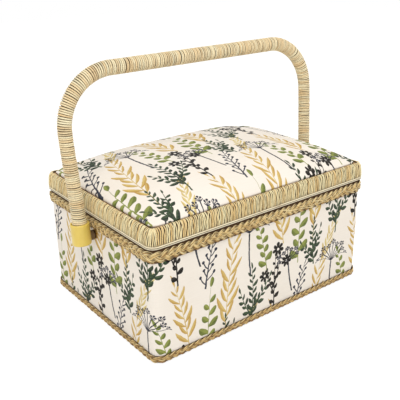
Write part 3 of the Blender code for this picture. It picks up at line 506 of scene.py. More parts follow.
def wear_group():
    """Fine handling marks: a mask of faint scuffs and a slightly uneven height."""
    def build(graph, given):
        place = graph.place()
        coarse = graph.noise(place, given["Scale"], 5.0, 0.65)
        fine = graph.noise(graph.stretch(place, (1.0, 7.0, 1.0)), given["Scale"] * 6.0, 3.0)
        return {"Scuff": graph.ramp(coarse, 0.42, 0.70), "Height": fine}

    return shader_group("Handling Marks", {"Scale": 120.0}, ("Scuff", "Height"), build)


# Materials

class Surface:
    """A material, its graph and its Principled shader, whose plain values are set on the shader itself."""

    def __init__(self, name, roughness, metallic=0.0, **shader_inputs):
        self.material = bpy.data.materials.new(name)
        self.material.use_nodes = True
        self.graph = Graph(self.material.node_tree)
        self.shader = self.material.node_tree.nodes["Principled BSDF"]
        self.shader.inputs["Roughness"].default_value = roughness
        self.shader.inputs["Metallic"].default_value = metallic
        for key, value in shader_inputs.items():
            self.shader.inputs[key.replace("_", " ")].default_value = value

    def finish(self, tone, height, strength, distance, roughness=None):
        """Links the colour, the bump and, where it changes over the surface, the roughness."""
        self.graph.feed(self.shader.inputs["Base Color"], tone)
        if roughness:
            self.graph.feed(self.shader.inputs["Roughness"], roughness)
        inputs = {"Height": height, "Strength": strength, "Distance": distance}
        self.graph.feed(self.shader.inputs["Normal"], self.graph.value("ShaderNodeBump", inputs))
        return self.material


# Motifs of the print: colour, place of the middle in the tile, turn, and what differs from the group's own
SPRIGS = (
    ("wheat", (0.029, 0.112), 0.16, {"Height": 0.056, "Spacing": 0.0064, "Leaf Length": 0.0130,
                                     "Leaf Width": 0.0013, "Angle": 0.42, "Bend": 0.010}),
    ("mustard", (0.012, 0.045), 0.05, {"Height": 0.098, "Spacing": 0.0098, "Leaf Length": 0.0205,
                                       "Leaf Width": 0.0019, "Angle": 0.50, "Bend": 0.008}),
    ("mustard", (0.075, 0.098), -0.12, {"Height": 0.064, "Spacing": 0.0080, "Leaf Length": 0.0165,
                                        "Leaf Width": 0.0017, "Angle": 0.55, "Bend": -0.006}),
    ("leaf", (0.098, 0.078), -0.02, {"Height": 0.076, "Spacing": 0.0118, "Leaf Length": 0.0128,
                                     "Leaf Width": 0.0034, "Angle": 0.82, "Fullness": 0.6, "Bend": 0.006}),
    ("leaf", (0.056, 0.072), -0.10, {"Height": 0.052, "Spacing": 0.0095, "Leaf Length": 0.0098,
                                     "Leaf Width": 0.0027, "Angle": 0.78, "Fullness": 0.6, "Bend": -0.007}),
    ("slate", (0.100, 0.014), 0.12, {"Height": 0.048, "Spacing": 0.0072, "Leaf Length": 0.0092,
                                     "Leaf Width": 0.0001, "Angle": 0.66, "Stalk": 0.00056, "Berry": 0.0015,
                                     "Stem": 0.0007, "Bend": 0.006}),
)
BRANCHES = (
    ("pine", (0.044, 0.024), 0.10, {"Height": 0.060, "Spacing": 0.0068, "Leaf Length": 0.0096,
                                    "Leaf Width": 0.0018, "Angle": 0.70, "Stem": 0.0006, "Bend": -0.006}),
    ("pine", (0.009, 0.116), -0.16, {"Height": 0.046, "Spacing": 0.0060, "Leaf Length": 0.0084,
                                     "Leaf Width": 0.0017, "Angle": 0.72, "Stem": 0.0006, "Bend": 0.005}),
    ("ink", (0.068, 0.032), -0.04, {"Height": 0.058, "Spacing": 0.0100, "Leaf Length": 0.0070,
                                    "Leaf Width": 0.0020, "Angle": 0.80, "Stem": 0.0006, "Bend": 0.003,
                                    "Fork": 0.42, "Spread": 0.50, "Side Share": 0.44}),
)
UMBELS = (
    ("slate", (0.038, 0.088), 0.08, {"Radius": 0.0180, "Rays": 8.0, "Stem Length": 0.040}),
    ("slate", (0.086, 0.044), -0.10, {"Radius": 0.0130, "Rays": 7.0, "Stem Length": 0.032, "Tuft": 0.0038}),
)
DAISIES = (
    ("ink", (0.0725, 0.0625), 0.0, {"Radius": 0.0070}),
    ("ink", (0.0565, 0.0405), 0.4, {"Radius": 0.0062}),
    ("ink", (0.0835, 0.0475), 0.9, {"Radius": 0.0064}),
)
MOTIF_COLOURS = {
    "mustard": (colour(214, 186, 112), colour(186, 146, 72)),
    "wheat": (colour(222, 204, 142), colour(196, 168, 98)),
    "leaf": (colour(142, 150, 72), colour(94, 106, 46)),
    "pine": (colour(58, 80, 52), colour(24, 38, 34)),
    "slate": (colour(46, 52, 70), colour(28, 32, 48)),
    "ink": (colour(20, 16, 16), colour(10, 8, 10)),
}
LINE_WAVER = 0.0018


def print_material(name, settings, cloth_map=None):
    """Printed cotton. The print follows the piece's own cloth map, or the lid's plan where it has none."""
    surface = Surface(name, 0.85, Sheen_Weight=0.04, Specular_IOR_Level=0.12)
    graph = surface.graph
    cloth = graph.value("ShaderNodeUVMap", uv_map=cloth_map) if cloth_map else graph.place()
    waver = graph.value("ShaderNodeTexNoise", {"Vector": cloth, "Scale": 160.0, "Detail": 2.0}, "Color")
    waver = graph.value("ShaderNodeVectorMath", {0: waver, 1: (0.5, 0.5, 0.5)}, operation="SUBTRACT")
    drawn = graph.value("ShaderNodeVectorMath", {0: waver, 1: (LINE_WAVER, LINE_WAVER, 0.0), 2: cloth},
                        operation="MULTIPLY_ADD")
    drawn = graph.stretch(drawn, [1 / settings.size] * 3)
    wash = graph.ramp(graph.noise(cloth, 70.0, 3.0), 0.38, 0.62)
    printed = graph.mix(graph.noise(cloth, 14.0, 2.0), settings.ground, settings.ground_shade)
    kinds = ((sprig_group, SPRIGS), (branch_group, BRANCHES), (umbel_group, UMBELS), (daisy_group, DAISIES))
    for group, motifs in kinds:
        for tone, where, turn, differences in motifs:
            spot = use(graph, place_group(), {
                "Cloth": drawn, "Place X": where[0], "Place Y": where[1], "Turn": turn,
                "Rise": differences.get("Height", 0.0) / 2,
                "Tile Width": settings.tile_width, "Tile Height": settings.tile_height,
            })
            found = use(graph, group(), {"X": spot["X"], "Y": spot["Y"], **differences})
            shade = wash * 0.45 + found["Half"] * 0.55 if "Half" in found else wash
            printed = graph.mix(found["Mask"], printed, graph.mix(shade, *MOTIF_COLOURS[tone]))
    weave = use(graph, weave_group(), {"Cloth": cloth, "Threads": settings.threads})
    slubbed = graph.mix(graph.ramp(weave["Slub"], 0.35, 0.75, 0.0, 0.10), printed, colour(206, 196, 176))
    return surface.finish(slubbed, weave["Height"], 0.25, 0.00012)


def straw_material(name, tones, twist, fibres, strength, blotch=45.0, dark_share=0.35, deep=0.9):
    """Dried straw or grass cord, from its light and middle tones to dark fibres and blotches, with painted
    shade in its gaps and on strands that lie under others.
    """
    light, mid, dark = tones
    surface = Surface(name, 0.55, Specular_IOR_Level=0.35)
    graph = surface.graph
    straw = use(graph, straw_group(), {"Twist": twist, "Fibres": fibres, "Blotch Scale": blotch})
    tone = graph.mix(graph.ramp(straw["Shade"], 0.0, 1.0), light, mid)
    fibre = graph.ramp(straw["Fibre"], 0.36, 0.62)
    tone = graph.mix((1.0 - fibre) * 0.30, tone, dark)
    tone = graph.mix(graph.ramp(straw["Blotch"], 0.54, 0.72) * dark_share, tone, dark)
    tone = graph.mix(graph.ramp(straw["Shade"], 0.74, 1.0, 0.0, 0.80), tone, dark)
    # Painted shade: gaps, far flanks and lower strands turn dark brown, as far as deep says.
    painted_gap_shade = straw["Depth"] + straw["Fibre"] * 0.2
    tone = graph.mix(graph.ramp(painted_gap_shade, 0.20, 0.58, 0.0, deep), tone, colour(62, 40, 20))
    polish = graph.ramp(straw["Fibre"], 0.3, 0.7, 0.62, 0.44)
    return surface.finish(tone, straw["Fibre"], strength, 0.0004, polish)


def satin_material(name, base, shade):
    """Lining satin with a soft sheen, a faint thread and painted shade along the quilting's stitch lines."""
    surface = Surface(name, 0.42, Sheen_Weight=0.35, Sheen_Roughness=0.35)
    graph = surface.graph
    place = graph.place()
    weave = use(graph, weave_group(), {"Cloth": place, "Threads": 2600.0})
    cloudy = graph.noise(place, 30.0, 3.0)
    # Painted shade along the quilting's creases.
    tone = graph.mix(graph.attribute("crease_shade") * 0.8, graph.mix(cloudy, base, shade), colour(176, 158, 124))
    return surface.finish(tone, weave["Height"], 0.12, 0.00008, graph.ramp(cloudy, 0.3, 0.7, 0.36, 0.48))


def plastic_material(name, base, shade, roughness, scuffed=0.35, **shader_inputs):
    """Moulded plastic with faint flow marks and handling scuffs."""
    surface = Surface(name, roughness, **shader_inputs)
    graph = surface.graph
    marks = use(graph, wear_group(), {"Scale": 45.0})
    tone = graph.mix(marks["Scuff"] * scuffed, base, shade)
    worn = graph.ramp(marks["Scuff"], 0.0, 1.0, roughness, roughness + 0.4 * scuffed)
    return surface.finish(tone, marks["Height"], 0.06 * scuffed, 0.0001, worn)


def metal_material(name, base, shade, roughness):
    """Plated sheet or turned metal, brushed and a little tarnished."""
    surface = Surface(name, roughness, 1.0)
    graph = surface.graph
    marks = use(graph, wear_group(), {"Scale": 260.0})
    tone = graph.mix(marks["Scuff"] * 0.5, base, shade)
    worn = graph.ramp(marks["Scuff"], 0.0, 1.0, roughness, roughness + 0.2)
    return surface.finish(tone, marks["Height"], 0.12, 0.0002, worn)


def wood_material(name, light, dark, stretch):
    """Planed beech: long grain with short dark flecks."""
    surface = Surface(name, 0.6)
    graph = surface.graph
    place = graph.place()
    grain = graph.noise(graph.stretch(place, stretch), 1.0, 6.0, 0.6)
    fleck = graph.noise(graph.stretch(place, [4 * part for part in stretch]), 1.3, 2.0)
    tone = graph.mix(graph.ramp(grain, 0.35, 0.65), light, dark)
    tone = graph.mix(graph.ramp(fleck, 0.62, 0.72) * 0.5, tone, dark)
    return surface.finish(tone, grain, 0.2, 0.0003)


def felt_material(name, base, shade, scale=900.0):
    """Pressed fibre: felt, or board with more body."""
    surface = Surface(name, 0.95)
    fibre = surface.graph.noise(surface.graph.place(), scale, 4.0, 0.7)
    tone = surface.graph.mix(surface.graph.ramp(fibre, 0.3, 0.7), base, shade)
    return surface.finish(tone, fibre, 0.5, 0.0004)


# Geometry trees

def input_id(tree, label):
    return next(item.identifier for item in tree.interface.items_tree
                if item.name == label and item.in_out == "INPUT")


def evaluated_mesh(piece):
    """The piece as its modifiers leave it, as a mesh of its own."""
    bpy.context.view_layer.update()
    return bpy.data.meshes.new_from_object(piece.evaluated_get(bpy.context.evaluated_depsgraph_get()))


def evaluate(name, source, tree, values):
    """Runs a geometry tree on source and gives its result as a plain mesh object."""
    modifier = source.modifiers.new("Make", "NODES")
    modifier.node_group = tree
    for label, value in values.items():
        modifier[input_id(tree, label)] = value
    mesh = evaluated_mesh(source)
    piece = bpy.data.objects.new(name, mesh)
    mesh.name = name
    bpy.context.scene.collection.objects.link(piece)
    source.modifiers.clear()
    bpy.data.objects.remove(source)
    return piece


def cord_tree():
    """Sweeps a round section along paths, by their own radius, and keeps where each point lies. It stores as
    depth a painted shade: more where a point faces away from its path's open side, plus the path's own level.
    """
    def build(graph, given):
        curve = graph.value("GeometryNodeMeshToCurve", {"Mesh": given["Paths"]})
        sides = given["Sides"]
        circle = graph.value("GeometryNodeCurvePrimitiveCircle", {"Resolution": sides, "Radius": 1.0})
        section = graph.stored(circle, "around", graph.value("GeometryNodeInputIndex") / sides)
        inputs = {"Curve": curve, "Profile Curve": section, "Scale": graph.named("radius"), "Fill Caps": True}
        tube = graph.value("GeometryNodeCurveToMesh", inputs)
        both = {0: graph.value("GeometryNodeInputNormal"), 1: graph.named("outward", "FLOAT_VECTOR")}
        facing = graph.value("ShaderNodeVectorMath", both, "Value", operation="DOT_PRODUCT")
        # Painted shade: a point that faces away from the open side gets more of it, as in a gap between
        # cords.
        painted_gap_shade = (1.0 - facing) * 0.5
        tube = graph.stored(tube, "depth", painted_gap_shade + graph.named("level"))
        smooth = graph.value("GeometryNodeSetShadeSmooth", {"Geometry": tube})
        return {"Cords": graph.dressed(smooth, given["Material"])}

    inputs = {"Paths": ("NodeSocketGeometry", None), "Sides": ("NodeSocketInt", 6),
              "Material": ("NodeSocketMaterial", None)}
    return node_group("Cords Along Paths", "GeometryNodeTree", inputs, {"Cords": "NodeSocketGeometry"}, build)


def repeat_tree():
    """Sets a copy of one piece on every point, turned as the point says."""
    def build(graph, given):
        piece = graph.value("GeometryNodeObjectInfo", {"Object": given["Piece"]}, "Geometry")
        turned = graph.value("FunctionNodeEulerToRotation", {0: graph.named("facing", "FLOAT_VECTOR")})
        inputs = {"Points": given["Points"], "Instance": piece, "Rotation": turned}
        repeated = graph.value("GeometryNodeInstanceOnPoints", inputs)
        return {"Copies": graph.dressed(repeated, given["Material"])}

    inputs = {"Points": ("NodeSocketGeometry", None), "Piece": ("NodeSocketObject", None),
              "Material": ("NodeSocketMaterial", None)}
    return node_group("Copies On Points", "GeometryNodeTree", inputs, {"Copies": "NodeSocketGeometry"}, build)


# Meshes

def mesh_object(name, points, faces=(), edges=(), material=None, smooth=True):
    mesh = bpy.data.meshes.new(name)
    mesh.from_pydata([tuple(point) for point in points], list(edges), list(faces))
    if material:
        mesh.materials.append(material)
    if faces and smooth:
        mesh.shade_smooth()
    piece = bpy.data.objects.new(name, mesh)
    bpy.context.scene.collection.objects.link(piece)
    return piece


def store(mesh, name, kind, values):
    attribute = mesh.attributes.new(name, kind, "POINT")
    key = "vector" if kind == "FLOAT_VECTOR" else "value"
    flat = [part for value in values for part in value] if kind == "FLOAT_VECTOR" else values
    attribute.data.foreach_set(key, flat)


def cords(name, paths, material, sides=6):
    """Tubes along paths. Each path is (points, radii, shades, closed, outward directions, painted shade
    levels).
    """
    points, edges, radii, along, shades, outwards, levels = [], [], [], [], [], [], []
    for line, widths, shade, closed, directions, painted_shade_levels in paths:
        start = len(points)
        outwards += directions
        # How much painted shade each point gets, over what its facing gives.
        levels += painted_shade_levels if isinstance(painted_shade_levels, list) else [painted_shade_levels] * len(line)
        length = 0.0
        for index, point in enumerate(line):
            if index:
                length += (Vector(point) - Vector(line[index - 1])).length
                edges.append((start + index - 1, start + index))
            points.append(point)
            radii.append(widths[index] if isinstance(widths, list) else widths)
            along.append(length)
            shades.append(shade[index] if isinstance(shade, list) else shade)
        if closed:
            edges.append((len(points) - 1, start))
    source = mesh_object(name + "_paths", points, edges=edges)
    store(source.data, "radius", "FLOAT", radii)
    store(source.data, "along", "FLOAT", along)
    store(source.data, "shade", "FLOAT", shades)
    store(source.data, "outward", "FLOAT_VECTOR", outwards)
    # The painted shade level of each point.
    store(source.data, "level", "FLOAT", levels)
    return evaluate(name, source, cord_tree(), {"Sides": sides, "Material": material})


def copies(name, piece, places, facings, material):
    """Copies of a piece at places, each turned by its own facing."""
    source = mesh_object(name + "_places", places)
    store(source.data, "facing", "FLOAT_VECTOR", facings)
    result = evaluate(name, source, repeat_tree(), {"Piece": piece, "Material": material})
    bpy.data.objects.remove(piece)
    return result


def finish(piece, body, slot, *nodes):
    """Puts a piece on its body and hides the frame's nodes that it stands for. Its slot is not used."""
    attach(piece, body)
    if nodes:
        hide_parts(*nodes)
    return piece


class Loop:
    """The line round a rounded rectangle, from the right side's front end, anticlockwise."""

    def __init__(self, half_x, half_y, radius):
        self.half = (half_x, half_y)
        self.radius = radius
        self.sides = [2 * (half_y - radius), 2 * (half_x - radius)] * 2
        self.corner = radius * math.pi / 2
        self.length = sum(self.sides) + 4 * self.corner

    def at(self, along):
        """Place and outward direction at a length along the line."""
        along %= self.length
        for quarter, side in enumerate(self.sides):
            outward = Matrix.Rotation(quarter * math.pi / 2, 2) @ Vector((1, 0))
            onward = Matrix.Rotation(quarter * math.pi / 2, 2) @ Vector((0, 1))
            reach = self.half[quarter % 2]
            if along <= side:
                return outward * reach + onward * (along - side / 2), outward
            along -= side
            if along <= self.corner:
                angle = along / self.radius
                centre = outward * (reach - self.radius) + onward * side / 2
                direction = outward * math.cos(angle) + onward * math.sin(angle)
                return centre + direction * self.radius, direction
            along -= self.corner
        return self.at(0)

    def point(self, along, offset, height):
        place, outward = self.at(along)
        return Vector((*(place + outward * offset), height))

    def outward(self, along, up=0.0):
        """Outward direction at a length along the line, with a share of upward."""
        return Vector((*self.at(along)[1], up))


def loft(name, loop, profile, steps, material, closed=False, cloth=False):
    """A skin round a loop. Profile points are (outward offset, height); cloth adds its own map."""
    points, faces = [], []
    count = len(profile)
    for step in range(steps):
        for offset, height in profile:
            points.append(loop.point(loop.length * step / steps, offset, height))
    for step in range(steps):
        following = (step + 1) % steps
        for row in range(count if closed else count - 1):
            above = (row + 1) % count
            faces.append((step * count + row, following * count + row, following * count + above,
                          step * count + above))
    piece = mesh_object(name, points, faces, material=material)
    if cloth:
        spans = [0.0]
        for first, second in zip(profile, profile[1:]):
            spans.append(spans[-1] + (Vector(second) - Vector(first)).length)
        layer = piece.data.uv_layers.new(name="cloth")
        for polygon in piece.data.polygons:
            columns = [piece.data.loops[index].vertex_index // count for index in polygon.loop_indices]
            wraps = max(columns) - min(columns) > 1
            for index, column in zip(polygon.loop_indices, columns):
                row = piece.data.loops[index].vertex_index % count
                turn = column + steps if wraps and column == 0 else column
                layer.data[index].uv = (loop.length * turn / steps, spans[row])
    return piece


def grid_faces(columns, rows, downwards=False):
    """The faces between the points of a grid, which are listed row by row."""
    width = columns + 1
    faces = []
    for row in range(rows):
        for near in range(row * width, row * width + columns):
            face = (near, near + 1, near + width + 1, near + width)
            faces.append((near, *reversed(face[1:])) if downwards else face)
    return faces


def grid_border(columns, rows):
    """The points round a grid, anticlockwise from its first."""
    width = columns + 1
    border = list(range(columns)) + [row * width + columns for row in range(rows)]
    border += [rows * width + column for column in range(columns, 0, -1)]
    return border + [row * width for row in range(rows, 0, -1)]


def close_pad(points, faces, border, height):
    """Closes a pad's shaped side with upright walls and a flat back at this height."""
    start = len(points)
    points += [(points[index][0], points[index][1], height) for index in border]
    for step, index in enumerate(border):
        following = (step + 1) % len(border)
        faces.append((index, border[following], start + following, start + step))
    faces.append(tuple(range(start, start + len(border))))


def round_corner(x, y, half_x, half_y, radius):
    """Draws a point of a rectangle in where the rectangle's corner is rounded."""
    dx, dy = abs(x) - (half_x - radius), abs(y) - (half_y - radius)
    if dx > 0 and dy > 0:
        shrink = radius / max(math.hypot(dx, dy), radius)
        x = math.copysign(half_x - radius + dx * shrink, x)
        y = math.copysign(half_y - radius + dy * shrink, y)
    return x, y


def thicken(piece, thickness):
    """Gives a single layer of cloth its thickness, inwards."""
    modifier = piece.modifiers.new("Cloth thickness", "SOLIDIFY")
    modifier.thickness = thickness
    modifier.offset = -1


def uneven(x, y, z=0.0):
    """Smooth chance, from about -1 to 1, that changes once over each unit of length."""
    return noise.noise(Vector((x, y, z)))


def close_and_face(piece):
    """Merges doubled points and turns every face outwards."""
    bm = bmesh.new()
    bm.from_mesh(piece.data)
    bmesh.ops.remove_doubles(bm, verts=bm.verts, dist=0.00001)
    bmesh.ops.recalc_face_normals(bm, faces=bm.faces)
    bm.to_mesh(piece.data)
    bm.free()
    return piece


def revolve(name, profile, material, steps=48):
    """A closed turned shape about Z from (radius, height) points, whose ends lie on the axis."""
    points, faces, rings = [], [], []
    for radius, height in profile:
        if radius == 0:
            rings.append([len(points)])
            points.append((0, 0, height))
            continue
        rings.append(list(range(len(points), len(points) + steps)))
        for step in range(steps):
            angle = 2 * math.pi * step / steps
            points.append((radius * math.cos(angle), radius * math.sin(angle), height))
    for first, second in zip(rings, rings[1:]):
        for step in range(steps):
            near, far = step, (step + 1) % steps
            if len(first) == 1:
                faces.append((first[0], second[far], second[near]))
            elif len(second) == 1:
                faces.append((first[near], first[far], second[0]))
            else:
                faces.append((first[near], first[far], second[far], second[near]))
    return close_and_face(mesh_object(name, points, faces, material=material))


def boolean(piece, other, operation):
    """Applies one exact Boolean and removes the other object."""
    modifier = piece.modifiers.new("Join", "BOOLEAN")
    modifier.operation = operation
    modifier.solver = "EXACT"
    modifier.object = other
    mesh = evaluated_mesh(piece)
    piece.modifiers.clear()
    piece.data = mesh
    bpy.data.objects.remove(other)
    return piece


def smooth_by_angle(piece, degrees):
    piece.data.shade_smooth()
    piece.data.set_sharp_from_angle(angle=math.radians(degrees))
    return piece


# Settings that a user would change

def tint(name, description, *screen):
    return FloatVectorProperty(name=name, description=description, subtype="COLOR", size=3, min=0, max=1,
                               default=colour(*screen))


def length(name, description, default, least):
    return FloatProperty(name=name, description=description, default=default, min=least, unit="LENGTH")


def power(name, description, default):
    return FloatProperty(name=name, description=description, default=default, min=0, unit="POWER")


def plain_number(name, description, default, least):
    return FloatProperty(name=name, description=description, default=default, min=least)


def whole_number(name, description, default, least):
    return IntProperty(name=name, description=description, default=default, min=least)


class BasketPrintSettings(bpy.types.PropertyGroup):
    ground: tint("Ground", "Colour of the cotton", 243, 235, 224)
    ground_shade: tint("Ground shade", "Its duller patches", 236, 226, 212)
    size: plain_number("Print size", "Size of the motifs and of their repeat", 1.22, 0.2)
    tile_width: length("Repeat width", "Width of the print's repeat", 0.108, 0.02)
    tile_height: length("Repeat height", "Height of the print's repeat", 0.124, 0.02)
    threads: plain_number("Threads", "Threads of the cotton in each metre", 1700.0, 100)


class BasketStrawSettings(bpy.types.PropertyGroup):
    cord_pitch: length("Cord pitch", "Spacing of the upright cords round the lid", 0.00205, 0.001)
    cord_radius: length("Cord radius", "Radius of an upright cord", 0.00076, 0.0003)
    slant: length("Slant", "How far a cord's top lies aside of its foot", 0.0018, -0.02)
    light: tint("Light straw", "Palest cords", 255, 243, 194)
    mid: tint("Straw", "Darker cords", 232, 188, 112)
    dark: tint("Dark fibre", "Fibres in the shade of others", 104, 68, 32)


class BasketBraidSettings(bpy.types.PropertyGroup):
    top_wave: length("Top plait", "Length of one wave of the top braid", 0.0255, 0.005)
    stray_blades: whole_number("Stray blades", "Loose blades on the top braid", 90, 0)
    foot_wave: length("Foot plait", "Length of one wave of the foot braid", 0.0235, 0.005)
    light: tint("Light grass", "Palest blades", 255, 238, 184)
    mid: tint("Grass", "Browner blades", 236, 196, 118)
    dark: tint("Dark grass", "Reddish brown blades", 126, 80, 38)


class BasketHandleSettings(bpy.types.PropertyGroup):
    turns: whole_number("Turns", "Turns of cord wound on the handle", 270, 20)
    cord_radius: length("Cord radius", "Radius of the wound cord", 0.00108, 0.0003)
    light: tint("Light cord", "Palest turns", 255, 244, 204)
    mid: tint("Cord", "Darker turns", 238, 192, 124)


class BasketPaddingSettings(bpy.types.PropertyGroup):
    pressure: plain_number("Pressure", "How hard the padding fills its cover", 4.0, 0)
    voxel: length("Cloth mesh", "Mesh size of the simulated cloth", 0.0045, 0.002)
    reach: length("Most movement", "How far a point of the cloth may move", 0.006, 0)


class BasketStageSettings(bpy.types.PropertyGroup):
    world_strength: plain_number("Room light", "Strength of the even light all round", 0.80, 0)
    key_power: power("Key lamp", "Power of the large soft lamp", 14.0)
    fill_power: power("Fill lamp", "Power of the lamp on the other side", 4.0)


# Operators

def seen_directly(graph):
    """1 where the eye looks straight at a surface, or by way of metal or glass, else 0."""
    rays = Sockets(graph, graph.node("ShaderNodeLightPath").outputs)
    return graph.largest(rays["Is Camera Ray"], rays["Is Transmission Ray"], rays["Is Glossy Ray"])


class BASKET_OT_stage(bpy.types.Operator):
    """Sets up the camera, the pale floor and the soft studio light"""
    bl_idname = "basket.stage"
    bl_label = "Set The Stage"

    def execute(self, context):
        settings = context.scene.basket_stage
        scene = context.scene
        scene.view_settings.view_transform = "Standard"
        towards_eye = Vector((math.sin(CAMERA_TURN) * math.cos(CAMERA_HEIGHT),
                              -math.cos(CAMERA_TURN) * math.cos(CAMERA_HEIGHT), math.sin(CAMERA_HEIGHT)))
        right = (-towards_eye).cross(Vector((0, 0, 1))).normalized()
        up = right.cross(-towards_eye)
        turned_right = right * math.cos(CAMERA_ROLL) + up * math.sin(CAMERA_ROLL)
        turned_up = up * math.cos(CAMERA_ROLL) - right * math.sin(CAMERA_ROLL)
        camera = bpy.data.objects.new("camera", bpy.data.cameras.new("camera"))
        axes = Matrix((turned_right, turned_up, towards_eye)).transposed()
        eye = CAMERA_TARGET + towards_eye * CAMERA_DISTANCE
        camera.matrix_world = Matrix.Translation(eye) @ axes.to_4x4()
        camera.data.lens = CAMERA_LENS
        camera.data.sensor_width = 36
        camera.data.clip_start = 0.01
        scene.collection.objects.link(camera)
        scene.camera = camera
        self.light_world(scene, settings)
        self.lay_floor()
        self.hang_lamp("key lamp", (-0.9, -0.9, 1.5), 1.1, settings.key_power)
        self.hang_lamp("fill lamp", (1.3, -0.7, 0.9), 1.0, settings.fill_power)
        return {"FINISHED"}

    def light_world(self, scene, settings):
        """Even light, seen as plain white by the eye, by metal and through glass."""
        world = bpy.data.worlds.new("studio")
        world.use_nodes = True
        scene.world = world
        graph = Graph(world.node_tree)
        graph.tree.nodes.clear()
        strength = graph.ramp(seen_directly(graph), 0.0, 1.0, settings.world_strength, 1.0)
        background = graph.value("ShaderNodeBackground", {"Color": (1, 1, 1, 1), "Strength": strength})
        graph.node("ShaderNodeOutputWorld", {0: background})

    def lay_floor(self):
        """A white floor that keeps the basket's soft shadow."""
        size = 3.0
        floor = mesh_object("floor", [(-size, -size, 0), (size, -size, 0), (size, size, 0), (-size, size, 0)],
                            [(0, 1, 2, 3)], smooth=False)
        material = bpy.data.materials.new("floor")
        material.use_nodes = True
        graph = Graph(material.node_tree)
        graph.tree.nodes.clear()
        plain = graph.value("ShaderNodeBsdfDiffuse", {"Color": (0.8, 0.8, 0.8, 1)})
        shadowed = graph.value("ShaderNodeBsdfDiffuse", {"Color": (0.42, 0.42, 0.42, 1)})
        glow = graph.value("ShaderNodeEmission", {"Color": (1, 1, 1, 1), "Strength": 0.74})
        both = graph.value("ShaderNodeAddShader", {0: shadowed, 1: glow})
        mixed = graph.value("ShaderNodeMixShader", {0: seen_directly(graph), 1: plain, 2: both})
        graph.node("ShaderNodeOutputMaterial", {0: mixed})
        floor.data.materials.append(material)

    def hang_lamp(self, name, place, size, power):
        lamp = bpy.data.objects.new(name, bpy.data.lights.new(name, "AREA"))
        lamp.data.size = size
        lamp.data.energy = power
        lamp.location = place
        lamp.rotation_euler = (CAMERA_TARGET - Vector(place)).to_track_quat("-Z", "Y").to_euler()
        bpy.context.scene.collection.objects.link(lamp)


class BASKET_OT_cover(bpy.types.Operator):
    """Covers the box's walls in the printed cotton, turned in over their top edge"""
    bl_idname = "basket.cover"
    bl_label = "Cover The Box"

    def execute(self, context):
        settings = context.scene.basket_print
        loop = Loop(cover_high.x, cover_high.y, BOX_CORNER_RADIUS)
        bottom, top = cover_low.z, cover_high.z
        rows = 30
        profile = [(-0.0004, bottom)]
        for row in range(1, rows):
            profile.append((0, bottom + (top - bottom) * row / rows))
        profile += [(-0.0003, top - 0.0002), (-0.0008, top), (-0.0060, top), (-0.0062, top - 0.0009)]
        material = print_material("printed cotton, walls", settings, "cloth")
        skin = loft("printed_wall_cover", loop, profile, 300, material, cloth=True)
        straight_x, straight_y = cover_high.x - BOX_CORNER_RADIUS, cover_high.y - BOX_CORNER_RADIUS
        for vertex in skin.data.vertices:
            place = vertex.co
            share = (place.z - bottom) / (top - bottom)
            if share > 0.97:
                continue
            from_pivot = Vector((abs(place.x) - cover_high.x, place.y, place.z - pivot.z)).length
            soft = uneven(place.x * 18, place.y * 18, place.z * 26)
            fold = uneven(place.x * 70, place.y * 70, place.z * 12)
            bulge = (0.00045 + 0.0004 * soft + 0.00016 * fold) * math.sin(math.pi * min(share / 0.9, 1))
            outward = Vector((place.x - math.copysign(min(abs(place.x), straight_x), place.x),
                              place.y - math.copysign(min(abs(place.y), straight_y), place.y), 0))
            if outward.length > 0:
                vertex.co += outward.normalized() * bulge * min(from_pivot / 0.03, 1)
        thicken(skin, COTTON_THICKNESS)
        finish(skin, "box", "printed_cotton", "outer_cover")
        return {"FINISHED"}


